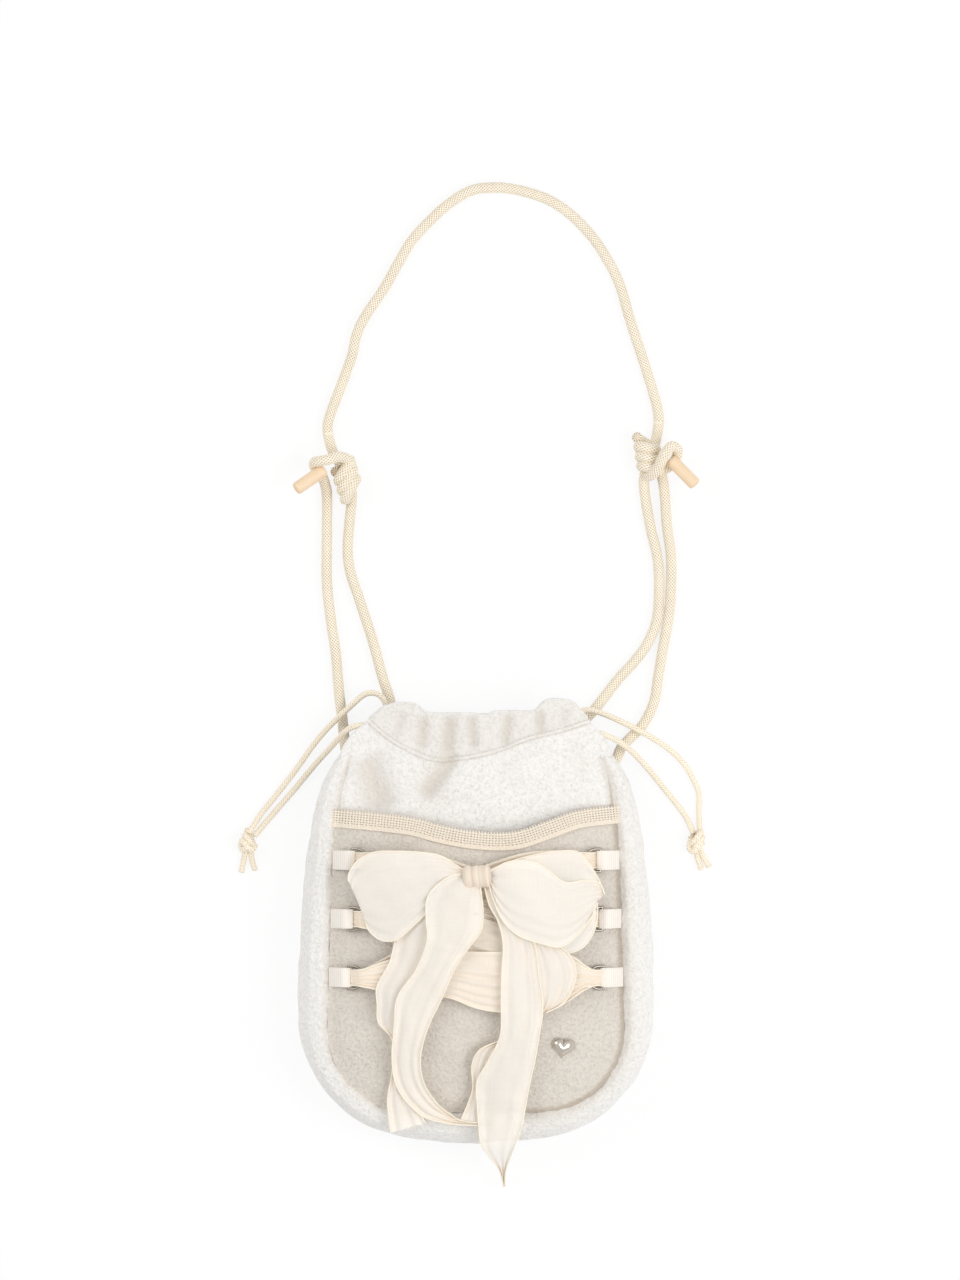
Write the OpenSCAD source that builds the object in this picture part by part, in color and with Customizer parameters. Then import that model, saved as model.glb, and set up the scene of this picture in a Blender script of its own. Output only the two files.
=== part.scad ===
// A soft wool pouch with a drawn mouth, lying on its back with its strap laid out above it.
// A laced ribbon ties in a bow over the front pocket, and a rope strap hangs from two side tabs.
// X is to the right, Y is towards the mouth and Z is up from the table, all in millimetres.
// The origin lies on the table under the middle of the back panel.

/* [Bag] */
// Width between the two side seams just above the bottom corners
panel_w = 145; // [130:1:160]
// From the origin down to the bottom seam
bottom_y = 93; // [88:1:98]
// From the origin up to the shoulders, where the gusset ends
shoulder_y = 84; // [80:1:86]
// Radius of the bottom corners of the panels
corner_r = 40; // [30:1:46]
// How far each side seam leans in between the bottom corner and the shoulder
side_lean = 4; // [0:0.5:8]
// How far each side seam is nipped in at the shoulder
shoulder_nip = 7; // [4:0.5:9]
// Height of the front seam above the table
bag_depth = 34; // [32:0.5:40]
// How far the gusset bulges outside the seams
gusset_bulge = 17; // [13:0.5:20]
// How far the gusset rolls up beside the front seam
gusset_roll = 5; // [2:0.5:6]
// Share of the bulge that is lost at the bottom corners
corner_tuck = 0.33; // [0:0.01:0.5]
// Thickness of the wool cloth
cloth_t = 2; // [1.5:0.1:2.5]
// How far the middle of the front panel stands above its seams
front_crown = 6; // [4:0.5:9]
// How far the neck is held off the table by the strap's rope
neck_lift = 9; // [9:0.1:11]

/* [Mouth] */
// Clear height of the mouth between the two casings
mouth_gap = 8; // [7:0.5:12]
// Thickness of each ply of the casings
casing_ply = 1.3; // [1:0.1:1.6]
// Room round a drawstring in its casing
casing_room = 0.45; // [0.4:0.05:0.8]
// Half length of the front casing
front_casing_half = 57; // [54:0.5:58]
// Half length of the rear casing
rear_casing_half = 36; // [34:0.5:44]
// Lower edge of the front casing at its middle
front_casing_low = 82.5; // [80:0.5:84]
// Rim of the front casing at its middle
front_casing_rim = 102.5; // [102:0.5:104]
// How much higher the lower edge of the front casing lies at its ends
front_sag = 7; // [4:0.5:7.5]
// How much higher the rim of the front casing stands at its ends
rim_rise = 7; // [4:0.5:8]
// Lower edge of the rear casing
rear_casing_low = 88; // [86:0.5:89]
// Rim of the rear casing
rear_casing_rim = 103.5; // [103:0.5:106]

/* [Pocket] */
// Top edge of the pocket at the side seams
pocket_top = 54; // [48:0.5:58]
// How far the top edge of the pocket dips at its middle
pocket_dip = 10; // [6:0.5:13]
// Room in the pocket at its middle
pocket_room = 7.5; // [7:0.1:9]
// Thickness of the pocket cloth
pocket_t = 1.6; // [1.2:0.1:2]
// Height of the woven tape on the pocket's edge
tape_h = 7.5; // [6:0.5:9]
// Thickness of the woven tape
tape_t = 0.8; // [0.6:0.1:1]

/* [Rings] */
// Height of the top row of rings above the origin
ring_top_y = 31; // [28:0.5:32]
// Distance between the rows of rings
ring_pitch = 29; // [27:0.5:31]
// Width of the twill tabs
tab_w = 9.6; // [8:0.2:10]
// Thickness of the twill tape
tab_t = 0.8; // [0.6:0.1:1]
// From the side seam to the straight bar of a ring
tab_reach = 8.5; // [8:0.5:10]
// Thickness of the ring wire
wire_d = 1.3; // [1.2:0.1:1.5]
// Straight legs of a ring between its bar and its bow
ring_leg = 2.2; // [2:0.1:3]
// Clear space between the ring bar and its tab
ring_clear = 0.08; // [0.06:0.01:0.12]
// How far a ring may be lifted before the ribbon holds it, in degrees
ring_lift = 14; // [6:1:14]

/* [Ribbon] */
// Thickness of the ribbon with its corded edges
ribbon_t = 0.6; // [0.5:0.1:0.8]
// Half width of the ribbon where it is gathered in a ring
ribbon_pinch = 2.6; // [2:0.1:2.8]
// Half width of a lacing strand
lace_half = 6; // [5:0.5:8]
// Reach of each bow loop from the knot
loop_reach = 62; // [54:1:64]
// Half width of a bow loop at its outer end
loop_half = 21; // [16:0.5:22]
// Height of the bow's knot above the origin
bow_y = 24; // [22:0.5:26]
// Radius of the bow's knot
bow_knot_r = 5.5; // [5:0.1:6]
// Half width of the tails
tail_half = 12; // [9:0.5:13]

/* [Stud] */
// Place of the heart stud to the right of the origin
stud_x = 43; // [36:0.5:48]
// Place of the heart stud below the origin
stud_y = 62; // [58:0.5:66]
// Radius of each lobe of the heart
stud_lobe = 2.9; // [2.4:0.1:3.2]
// Radius of the post behind the heart
stud_post_r = 1; // [0.8:0.1:1.2]

/* [Strap] */
// Thickness of the strap's rope
rope_d = 5.5; // [5:0.1:5.6]
// Thickness of the wooden toggles
toggle_d = 6.5; // [5.5:0.1:6.6]
// Length of the wooden toggles
toggle_l = 18; // [14:0.5:22]
// Turns of rope in each strap knot
knot_turns = 3; // [2:1:3]
// Thickness of the side tab that holds the rope
strap_tab_t = 0.9; // [0.7:0.1:1]
// Width of the side tab that holds the rope
strap_tab_w = 6; // [4:0.5:7]

/* [Drawstrings] */
// Thickness of the drawstrings
cord_d = 3; // [2.6:0.1:3.1]
// Radius of the knot that ties two ends together
cord_knot_r = 4.6; // [4:0.1:5]

/* [Hidden] */
$fn = 48;
// Slight gap where cloth pieces are sewn edge to edge
sewn = 0.15;
// Free space round anything soft that another piece moves past
free = 0.4;

half_panel = panel_w / 2;
corner_y = corner_r - bottom_y;
casing_h = cord_d + 2 * casing_room + 2 * casing_ply;
rear_mid_z = neck_lift + casing_h / 2;
front_mid_z = neck_lift + 1.5 * casing_h + mouth_gap;
neck_z = front_mid_z + cloth_t / 2;
// Heights at which the two drawstrings run through the casings
left_run_y = 97.6;
right_run_y = 94;
rope_r = rope_d / 2;
wire_r = wire_d / 2;
// Rope folds along this line when the strap is lifted
lift_y = 121;
// Bore of a tab round the ring bar and the outside of the folded tape
tab_bore = wire_r + ring_clear;
tab_out = tab_bore + tab_t;
// Middle line radius of a ring's bow, and its reach from the bar
bow_r = tab_w / 2 + wire_r + 0.2;
ring_reach = ring_leg + bow_r;

// Smooth step from 0 to 1
function smooth(t) = let (u = max(0, min(1, t))) u * u * (3 - 2 * u);
function mix(a, b, t) = a + (b - a) * t;
function unit(v) = v / norm(v);
// Share of the way from the bottom corner to the shoulder
function side_share(y) = max(0, min(1, (y - corner_y) / (shoulder_y - corner_y)));
// Half width of the panels at a height
function half_w(y) =
    y < corner_y ? half_panel - corner_r + sqrt(max(0, corner_r * corner_r - pow(corner_y - y, 2)))
    : y <= shoulder_y ? half_panel - side_lean * side_share(y) - shoulder_nip * pow(side_share(y), 8)
    : half_panel - side_lean - shoulder_nip - 0.3 * (y - shoulder_y);
// Height of the front seam and of the back seam above the table
function front_seam_z(y) = mix(bag_depth, neck_z, smooth((y - 40) / (shoulder_y - 40)));
function back_seam_z(y) = neck_lift * smooth((y - 45) / 28);
// Fullness of the front between the bottom seam and the mouth
function fullness(y) = sqrt(sin(180 * max(0, min(1, (y + bottom_y) / (98 + bottom_y)))));
function across(x, y) = 1 - pow(min(1, abs(x) / half_w(y)), 2);
// Outer face of the front panel, and the inner and outer faces of the pocket
function front_z(x, y) = front_seam_z(y) + front_crown * across(x, y) * fullness(y);
function pocket_in(x, y) = front_z(x, y) + sewn + pocket_room * across(x, y) * smooth((y + bottom_y) / 45);
function pocket_z(x, y) = pocket_in(x, y) + pocket_t;
// Top edge of the pocket
function pocket_edge(x) = pocket_top - pocket_dip * (1 - pow(x / half_w(pocket_top), 2));

// Closed sheet between an upper and a lower grid of points
module sheet(upper, lower) {
    rows = len(upper);
    cols = len(upper[0]);
    n = rows * cols;
    pts = [for (g = [upper, lower]) for (r = g) for (p = r) p];
    faces = concat(
        [for (i = [0:rows - 2]) for (j = [0:cols - 2]) let (a = i * cols + j)
            each [[a, a + cols, a + cols + 1], [a, a + cols + 1, a + 1],
                [n + a, n + a + 1, n + a + cols + 1], [n + a, n + a + cols + 1, n + a + cols]]],
        [for (j = [0:cols - 2]) let (a = j, b = (rows - 1) * cols + j)
            each [[a, a + 1, n + a + 1], [a, n + a + 1, n + a],
                [b + 1, b, n + b], [b + 1, n + b, n + b + 1]]],
        [for (i = [0:rows - 2]) let (a = i * cols, b = i * cols + cols - 1)
            each [[a + cols, a, n + a], [a + cols, n + a, n + a + cols],
                [b, b + cols, n + b + cols], [b, n + b + cols, n + b]]]);
    polyhedron(pts, faces, convexity = 10);
}

// Direction of a path at one of its points
function along(p, i) = unit(p[min(len(p) - 1, i + 1)] - p[max(0, i - 1)]);

// Strip of ribbon or tape along a path, with a half width and a sideways direction at each point
module strip(path, halves, sides, t) {
    ups = [for (i = [0:len(path) - 1]) unit(cross(sides[i], along(path, i)))];
    sheet([for (i = [0:len(path) - 1]) [for (j = [-1, 1]) path[i] + halves[i] * j * sides[i] + ups[i] * t / 2]],
        [for (i = [0:len(path) - 1]) [for (j = [-1, 1]) path[i] + halves[i] * j * sides[i] - ups[i] * t / 2]]);
}

// Rings of a cord, with a rounded cap at each end where asked
function ring_at(c, dir, r, n) =
    let (s = unit(cross(dir, [0, 0, 1])), u = cross(s, dir))
    [for (k = [0:n - 1]) c + r * (cos(360 * k / n) * s + sin(360 * k / n) * u)];
module cord(path, d, n = 8, cap_start = false, cap_end = false) {
    last = len(path) - 1;
    da = along(path, 0);
    dz = along(path, last);
    r = d / 2;
    rings = concat(
        cap_start ? [for (a = [75, 40]) ring_at(path[0] - da * r * sin(a), da, r * cos(a), n)] : [],
        [for (i = [0:last]) ring_at(path[i], along(path, i), r, n)],
        cap_end ? [for (a = [40, 75]) ring_at(path[last] + dz * r * sin(a), dz, r * cos(a), n)] : []);
    m = len(rings);
    pts = [for (q = rings) for (p = q) p];
    faces = concat(
        [for (i = [0:m - 2]) for (k = [0:n - 1]) let (a = i * n + k, b = i * n + (k + 1) % n)
            each [[a, b, b + n], [a, b + n, a + n]]],
        [[for (k = [n - 1:-1:0]) k]],
        [[for (k = [0:n - 1]) (m - 1) * n + k]]);
    polyhedron(pts, faces, convexity = 10);
}

// Rows of the panels from the bottom seam up to the shoulders
row_ys = concat([for (a = [90:-15:15]) corner_y - corner_r * sin(a)],
    [for (i = [0:12]) mix(corner_y, shoulder_y, i / 12)]);
cols = 12;

// Lower edge of the front casing
function casing_low(x) = front_casing_low + front_sag * pow(x / front_casing_half, 2);
// Row of the front panel, which bends to the casing above the shoulders
function front_row(y, up) = let (h = half_w(y) - sewn)
    [for (j = [-cols:2:cols]) let (x = h * j / cols) [x, y, front_z(x, y) - up]];
function neck_row(t, up) = let (h = mix(half_w(shoulder_y) - sewn, front_casing_half, t))
    [for (j = [-cols:2:cols])
        let (x = h * j / cols, y = mix(shoulder_y - 4 * t, casing_low(x) - sewn, t))
        [x, y, mix(front_z(x, shoulder_y), neck_z, t) - up]];

function front_grid(up) = concat([for (i = [0:len(row_ys) - 2]) front_row(row_ys[i], up)],
    [for (t = [0.35, 0.7, 1]) neck_row(t, up)]);

module front_panel() color([0.93, 0.92, 0.9]) sheet(front_grid(0), front_grid(cloth_t));

// Outline of the back panel, flat on the table and raised at the neck
module back_panel() color([0.92, 0.91, 0.89]) {
    ramp = [for (y = [45:4:73]) [y, back_seam_z(y)]];
    low = concat([[-bottom_y - 5, 0]], ramp, [[rear_casing_low - sewn, neck_lift]]);
    high = [for (i = [len(low) - 1:-1:0]) low[i] + [0, cloth_t]];
    neck_half = min(half_w(rear_casing_low), half_w(shoulder_y));
    right = concat([for (y = row_ys) [half_w(y) - sewn, y]], [[neck_half - sewn, rear_casing_low - sewn]]);
    left = [for (i = [len(right) - 1:-1:0]) [-right[i][0], right[i][1]]];
    intersection() {
        linear_extrude(height = 20) polygon(concat(right, left));
        translate([-100, 0, 0]) rotate([90, 0, 90]) linear_extrude(height = 200) polygon(concat(low, high));
    }
}

// Seam path round the bag from the right shoulder to the left one: place, outward direction, bulge
seam_half = concat(
    [for (i = [0:11]) let (y = mix(shoulder_y, corner_y, i / 12))
        [half_w(y), y, 1, 0, gusset_bulge * (1 - 0.8 * pow(side_share(y), 4))]],
    [for (a = [0:11.25:90]) [half_panel - corner_r + corner_r * cos(a), corner_y - corner_r * sin(a),
        cos(a), -sin(a), gusset_bulge * (1 - corner_tuck * sin(2 * a))]]);
seam_path = concat(seam_half,
    [for (i = [len(seam_half) - 1:-1:0]) let (s = seam_half[i]) [-s[0], s[1], -s[2], s[3], s[4]]]);

// Section of the gusset, rolled up beside the front seam: its lower half has side -1, its upper half side 1
function gusset_grid(t, side) = [for (s = seam_path)
    let (zb = back_seam_z(s[1]) + t, zf = front_seam_z(s[1]) - t, m = (zb + zf) / 2, h = (zf - zb) / 2,
        roll = gusset_roll * s[4] / gusset_bulge)
    [for (i = side < 0 ? [-6:0] : [0:6]) let (a = 15 * i, o = (s[4] - t) * cos(a))
        [s[0] + s[2] * o, s[1] + s[3] * o, m + h * sin(a) + (i > 0 ? roll * sin(2 * a) : 0)
            + (i == 0 ? side * sewn / 2 : 0)]]];

module gusset_upper() color([0.91, 0.9, 0.88]) sheet(gusset_grid(0, 1), gusset_grid(cloth_t, 1));
module gusset_lower() color([0.91, 0.9, 0.88]) sheet(gusset_grid(0, -1), gusset_grid(cloth_t, -1));

// Casing round the drawstrings: a flat tunnel open at both ends
module casing(half, low, sag, rim, rise, mid) {
    n = 12;
    tunnel = cord_d / 2 + casing_room;
    function loop(x, t) = let (q = pow(x / half, 2), a = low + sag * q + t, b = rim + rise * q - t,
        h = tunnel + casing_ply - t, c = 1.2)
        [[x, a + c, mid - h], [x, b - c, mid - h], [x, b, mid - h + c], [x, b, mid + h - c],
            [x, b - c, mid + h], [x, a + c, mid + h], [x, a, mid + h - c], [x, a, mid - h + c]];
    rings = [for (i = [0:n]) let (x = mix(-half, half, i / n)) concat(loop(x, 0), loop(x, casing_ply))];
    pts = [for (r = rings) for (p = r) p];
    faces = concat(
        [for (i = [0:n - 1]) for (k = [0:7]) let (a = i * 16 + k, b = i * 16 + (k + 1) % 8)
            each [[a, a + 16, b + 16], [a, b + 16, b], [a + 8, b + 24, a + 24], [a + 8, b + 8, b + 24]]],
        [for (k = [0:7]) let (a = k, b = (k + 1) % 8, e = n * 16)
            each [[a, b, b + 8], [a, b + 8, a + 8], [e + a, e + b + 8, e + b], [e + a, e + a + 8, e + b + 8]]]);
    polyhedron(pts, faces, convexity = 10);
}
module front_casing() color([0.93, 0.92, 0.9])
    casing(front_casing_half, front_casing_low, front_sag, front_casing_rim, rim_rise, front_mid_z);
module rear_casing() color([0.92, 0.91, 0.89])
    casing(rear_casing_half, rear_casing_low, 0, rear_casing_rim, 0, rear_mid_z);

// Pocket, with rows that bend to its dipping top edge
pocket_steps = 14;
function pocket_y(x, i) = i < 6 ? row_ys[i] : mix(corner_y, pocket_edge(x), (i - 6) / pocket_steps);
function pocket_grid(up) = [for (i = [0:6 + pocket_steps])
    let (h = half_w(pocket_y(half_panel - side_lean, i)) - sewn)
    [for (j = [-cols:2:cols]) let (x = h * j / cols, y = pocket_y(x, i)) [x, y, pocket_in(x, y) + up]]];

module pocket_panel() color([0.94, 0.93, 0.91]) difference() {
    sheet(pocket_grid(pocket_t), pocket_grid(0));
    on_slope() cylinder(r = stud_post_r + 0.1, h = 12, center = true);
}

// Woven tape laid over the pocket's top edge
function tape_grid(up) = [for (i = [0:3]) let (h = half_w(pocket_top) - 1)
    [for (j = [-cols:2:cols]) let (x = h * j / cols, y = pocket_edge(x) - tape_h + tape_h * i / 3)
        [x, y, pocket_z(x, y) + sewn + up]]];
module pocket_tape() color([0.93, 0.88, 0.8]) sheet(tape_grid(tape_t), tape_grid(0));

// Rows of rings, from the top one down
function row_y(k) = ring_top_y - ring_pitch * k;
function bar_x(k) = half_w(row_y(k)) - tab_reach;
// Slope of the pocket under a ring, in degrees, and the height of its bar
function ring_slope(k) = let (x = bar_x(k), y = row_y(k)) atan((pocket_z(x - 6, y) - pocket_z(x + 2, y)) / 8);
function bar_z(k) = pocket_z(bar_x(k), row_y(k)) + tab_out + 1.1;

// Folded twill tab round the straight bar of a ring, drawn for the right side
module tab(k) {
    foot_x = half_w(row_y(k)) - 0.6;
    foot_z = pocket_z(foot_x, row_y(k)) + sewn + tab_t;
    translate([bar_x(k), row_y(k), bar_z(k)]) rotate([90, 0, 0]) difference() {
        union() {
            cylinder(r = tab_out, h = tab_w, center = true);
            linear_extrude(height = tab_w, center = true) translate([-bar_x(k), -bar_z(k)])
                polygon([[bar_x(k), bar_z(k) + tab_out], [foot_x, foot_z + tab_t], [foot_x, foot_z - tab_t],
                    [bar_x(k), bar_z(k) - tab_out]]);
        }
        cylinder(r = tab_bore, h = tab_w + 2, center = true);
    }
}
module tab_right_top() color([0.9, 0.86, 0.8]) tab(0);
module tab_right_middle() color([0.9, 0.86, 0.8]) tab(1);
module tab_right_bottom() color([0.9, 0.86, 0.8]) tab(2);
module tab_left_top() color([0.9, 0.86, 0.8]) mirror([1, 0, 0]) tab(0);
module tab_left_middle() color([0.9, 0.86, 0.8]) mirror([1, 0, 0]) tab(1);
module tab_left_bottom() color([0.9, 0.86, 0.8]) mirror([1, 0, 0]) tab(2);

// D-ring of bent wire with its bow towards the middle, on the right where s is 1 and the left where it is -1
module d_ring(k, s) translate([s * bar_x(k), row_y(k), bar_z(k)]) rotate([0, 0, 90 - 90 * s])
    rotate([0, ring_slope(k), 0]) {
    rotate([90, 0, 0]) cylinder(r = wire_r, h = 2 * bow_r, center = true);
    for (e = [-1, 1]) translate([0, e * bow_r, 0]) {
        sphere(r = wire_r);
        rotate([0, -90, 0]) cylinder(r = wire_r, h = ring_leg);
    }
    translate([-ring_leg, 0, 0]) rotate([0, 0, 90]) rotate_extrude(angle = 180)
        translate([bow_r, 0]) circle(r = wire_r);
}
module d_ring_right_top() color([0.75, 0.74, 0.72]) d_ring(0, 1);
module d_ring_right_middle() color([0.75, 0.74, 0.72]) d_ring(1, 1);
module d_ring_right_bottom() color([0.75, 0.74, 0.72]) d_ring(2, 1);
module d_ring_left_top() color([0.75, 0.74, 0.72]) d_ring(0, -1);
module d_ring_left_middle() color([0.75, 0.74, 0.72]) d_ring(1, -1);
module d_ring_left_bottom() color([0.75, 0.74, 0.72]) d_ring(2, -1);

// Point near a ring: reach from its bar towards the middle, and height above the ring's plane
function by_ring(s, k, u, w) = let (a = ring_slope(k))
    [s * (bar_x(k) - u * cos(a) + w * sin(a)), row_y(k), bar_z(k) + u * sin(a) + w * cos(a)];
// Hook of ribbon round the bow of a ring, from above it to below it
hook_top = wire_r + free + ribbon_t / 2 + ring_reach * sin(ring_lift);
hook_low = -wire_r - free - ribbon_t / 2;
hook_in = ring_reach * cos(ring_lift) - wire_r - free - ribbon_t;
function hook(s, k) = [by_ring(s, k, ring_reach + 5, hook_top), by_ring(s, k, hook_in + 1.2, hook_top),
    by_ring(s, k, hook_in, hook_top - 1.2), by_ring(s, k, hook_in, hook_low + 0.5),
    by_ring(s, k, hook_in + 0.5, hook_low), by_ring(s, k, ring_reach + 5, hook_low)];
module hook_strip(s, k) {
    h = hook(s, k);
    strip(h, [for (p = h) ribbon_pinch], [for (p = h) [0, s, 0]], ribbon_t);
}
// Strand of lacing between two rings, over the top of one and under the other
function laid(x, y, lift) = [x, y, pocket_z(x, y) + lift];
module strand(a, b, lift, t) {
    n = 8;
    mids = [for (i = [1:n - 1]) let (q = mix(a, b, i / n)) laid(q[0], q[1], lift)];
    path = concat([a], mids, [b]);
    halves = [for (i = [0:n]) mix(ribbon_pinch, lace_half, smooth(4 * min(i / n, 1 - i / n)))];
    strip(path, halves, [for (p = path) [0, b[0] > a[0] ? -1 : 1, 0]], t);
}
module lacing_ribbon() color([0.96, 0.92, 0.86]) {
    top = ring_reach + 4.9;
    for (s = [-1, 1]) for (k = [0:2]) hook_strip(s, k);
    // lowest strand straight across
    strand(by_ring(-1, 2, top, hook_top), by_ring(1, 2, top, hook_top), 4.3, ribbon_t);
    // two crossings above it
    strand(by_ring(-1, 2, top, hook_low), by_ring(1, 1, top, hook_top), 1.2, ribbon_t);
    strand(by_ring(-1, 1, top, hook_top), by_ring(1, 2, top, hook_low), 2.7, ribbon_t);
    strand(by_ring(-1, 1, top, hook_low), by_ring(1, 0, top, hook_top), 1.2, ribbon_t);
    strand(by_ring(-1, 0, top, hook_top), by_ring(1, 1, top, hook_low), 2.7, ribbon_t);
}

// Bow over the lacing: two loops, a wrapped knot and two tails
bow_z = pocket_z(0, bow_y) + 5 + bow_knot_r;
loop_floor = 4 + hook_top;
function loop_path(s) = [for (q = [[0, 0, -1.6], [0.22, -0.14, -1.5], [0.6, -0.38, 0], [0.9, -0.45, 0.2],
    [1, -0.45, 2.6], [0.9, -0.45, 6], [0.6, -0.38, 7], [0.22, -0.14, 5], [0, 0, 1.6]])
    let (x = s * mix(bow_knot_r + 0.4, loop_reach, q[0]), y = bow_y + loop_half * q[1])
    q[0] < 0.3 ? [x, y, bow_z + q[2]] : [x, y, pocket_z(x, y) + loop_floor + q[2]]];
loop_halves = [for (h = [0.22, 0.52, 0.9, 1, 1, 1, 0.92, 0.55, 0.22]) h * loop_half];
module bow_loop(s) {
    p = loop_path(s);
    strip(p, loop_halves, [for (q = p) [0, s, 0]], ribbon_t);
}
module bow_loop_left() color([0.97, 0.93, 0.87]) bow_loop(-1);
module bow_loop_right() color([0.97, 0.93, 0.87]) bow_loop(1);
module bow_knot() color([0.96, 0.91, 0.84]) translate([0, bow_y, bow_z]) rotate([90, 0, 0])
    rotate_extrude() polygon([[0, -6.5], [3.2, -6.5], [4.8, -5], [bow_knot_r, -2], [bow_knot_r, 2],
        [4.8, 5], [3.2, 6.5], [0, 6.5]]);

// Top of the pocket and, below the bottom seam, of the gusset
function gusset_top(y) = let (d = min(1, (-bottom_y - y) / gusset_bulge))
    bag_depth / 2 * (1 + sqrt(max(0, 1 - d * d)));
function cover(x, y) = y > -bottom_y ? pocket_z(x, y) : gusset_top(y);
// Tails of the bow: place, height above the bag and share of the half width
module tail(route) {
    edge = -bottom_y - gusset_bulge + 4;
    path = [for (q = route) [q[0], q[1], q[1] < edge ? q[2] : cover(q[0], q[1]) + q[2]]];
    sides = [for (i = [0:len(path) - 1]) let (d = along(path, i)) unit([-d[1], d[0], 0])];
    strip(path, [for (q = route) q[3] * tail_half], -sides, ribbon_t);
}
left_tail_route = [[-3, 16.5, 7, 0.3], [-11, 7, 8.4, 0.7], [-22, -12, 7.6, 1], [-31, -33, 6.8, 1],
    [-33, -52, 5.6, 0.8], [-29, -70, 5, 0.6], [-17, -84, 4.8, 0.5], [-3, -91, 4.4, 0.5], [5, -93, 4.2, 0.5]];
right_tail_route = [[3, 16.5, 7, 0.3], [8, 6, 8.4, 0.7], [15, -12, 7.6, 1], [20, -32, 6.8, 1], [22, -54, 5, 1],
    [20, -76, 5.5, 0.95], [17, -91, 6.5, 0.8], [16, -99, 6.5, 0.75], [15, -106, 6, 0.55], [14, -116, 19, 0.35],
    [14, -126, 10, 0.2], [13.5, -133, 5, 0.08]];
module bow_tail_left() color([0.97, 0.93, 0.87]) tail(left_tail_route);
module bow_tail_right() color([0.97, 0.93, 0.87]) tail(right_tail_route);

// Puffy heart stud, its post through the pocket cloth and the cap behind
stud_lift = 0.3;
stud_slope_x = atan((pocket_z(stud_x + 3, -stud_y) - pocket_z(stud_x - 3, -stud_y)) / 6);
stud_slope_y = atan((pocket_z(stud_x, -stud_y + 3) - pocket_z(stud_x, -stud_y - 3)) / 6);
// Place of the stud, square to the slope of the cloth
module on_slope() translate([stud_x, -stud_y, pocket_z(stud_x, -stud_y)]) rotate([stud_slope_y, -stud_slope_x, 0])
    children();
module heart_stud() color([0.8, 0.8, 0.8]) on_slope() translate([0, 0, stud_lift]) {
    difference() {
        for (s = [-1, 1]) hull() {
            translate([s * (stud_lobe - 0.25), 1.6, 0]) sphere(r = stud_lobe, $fn = 24);
            translate([0, -4.2, 0]) sphere(r = 1, $fn = 16);
        }
        translate([-12, -12, -12]) cube([24, 24, 12]);
    }
    translate([0, 0, -stud_lift - pocket_t - 1]) cylinder(r = stud_post_r, h = stud_lift + pocket_t + 1.3);
}
module heart_stud_cap() color([0.7, 0.7, 0.7]) on_slope() translate([0, 0, -pocket_t - 1]) difference() {
    cylinder(r = 3.2, h = 0.7);
    translate([0, 0, -1]) cylinder(r = stud_post_r + 0.05, h = 3);
}

// Route of the strap's rope, which lies on the table, from the left knot over the top to the right one
arch_route = [[-74, 242.5, 2.9], [-74, 248, 2.9], [-72, 255, 2.9], [-67, 268, 2.9], [-62, 282, 2.9],
    [-59.5, 293, 2.9], [-54.5, 303, 2.9], [-46, 315.5, 2.9], [-39, 328, 2.9], [-32, 339.5, 2.9], [-23.5, 349, 2.9],
    [-13.5, 358, 2.9],
    [-2.5, 364.5, 2.9], [7.5, 366, 2.9], [17, 365.5, 2.9], [28, 363, 2.9], [38, 359, 2.9], [48, 352, 2.9],
    [58, 341.5, 2.9], [66, 329.5, 2.9], [72, 317, 2.9], [76.5, 301.5, 2.9], [81.5, 286, 2.9], [86.5, 270.5, 2.9],
    [90.5, 256.5, 2.9], [91.5, 248, 2.9]];
// Strands of the two side loops from the fold line up to the knots
left_outer_route = [[-69, 121, 2.9], [-70, 133, 2.9], [-72.5, 150, 2.9], [-74.5, 169, 2.9], [-74.5, 194, 2.9],
    [-74.5, 212, 2.9], [-75.5, 218, 4], [-77, 222.5, 6.5]];
left_inner_route = [[-46.5, 121, 2.9], [-52, 141, 2.9], [-58.5, 161, 2.9], [-63, 175, 2.9], [-64, 188, 2.9],
    [-62, 211, 3.5], [-62.5, 217, 5]];
right_inner_route = [[71.5, 121, 2.9], [78, 128, 2.9], [85.5, 138, 2.9], [90.5, 151, 2.9], [91.5, 169, 2.9],
    [90.5, 182, 2.9], [87, 197, 2.9], [84, 216, 3.5], [84.5, 225, 5]];
right_outer_route = [[91, 121, 2.9], [93, 133, 2.9], [96.5, 153, 2.9], [97.5, 167, 2.9], [97.5, 182, 2.9],
    [95.5, 197, 2.9], [94, 216, 3.5], [92, 225, 5]];
// Rope under the shoulders, round the side tabs
left_anchor_route = [[-68.5, 117.9, 2.9], [-68, 110, 2.9], [-66.5, 98, 2.9], [-65.5, 88, 3.4], [-64, 82.5, 4.2],
    [-60, 78.2, 4.4], [-57.2, 76.5, 4.4], [-50.8, 76.5, 4.4], [-48, 78.2, 4.4], [-44, 82.5, 4.2],
    [-42.5, 88, 3.4], [-42, 98, 2.9],
    [-43, 110, 2.9], [-45.5, 117.9, 2.9]];
right_anchor_route = [[69, 117.9, 2.9], [64.5, 112, 2.9], [58.5, 104.5, 2.9], [53.5, 99, 2.9], [49.5, 93, 3.2],
    [48.5, 86, 3.6], [50, 80.5, 4.2], [54, 76.2, 4.4], [56.8, 74.5, 4.4], [63.2, 74.5, 4.4], [66, 76.2, 4.4],
    [70, 80.5, 4.2],
    [72.5, 86, 3.6], [77, 91, 2.9], [82.5, 96.5, 2.9], [86.5, 103, 2.9], [89.5, 111, 2.9], [90.8, 117.9, 2.9]];
left_tab_at = [-54, 76.5, 4.4];
right_tab_at = [60, 74.5, 4.4];

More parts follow.
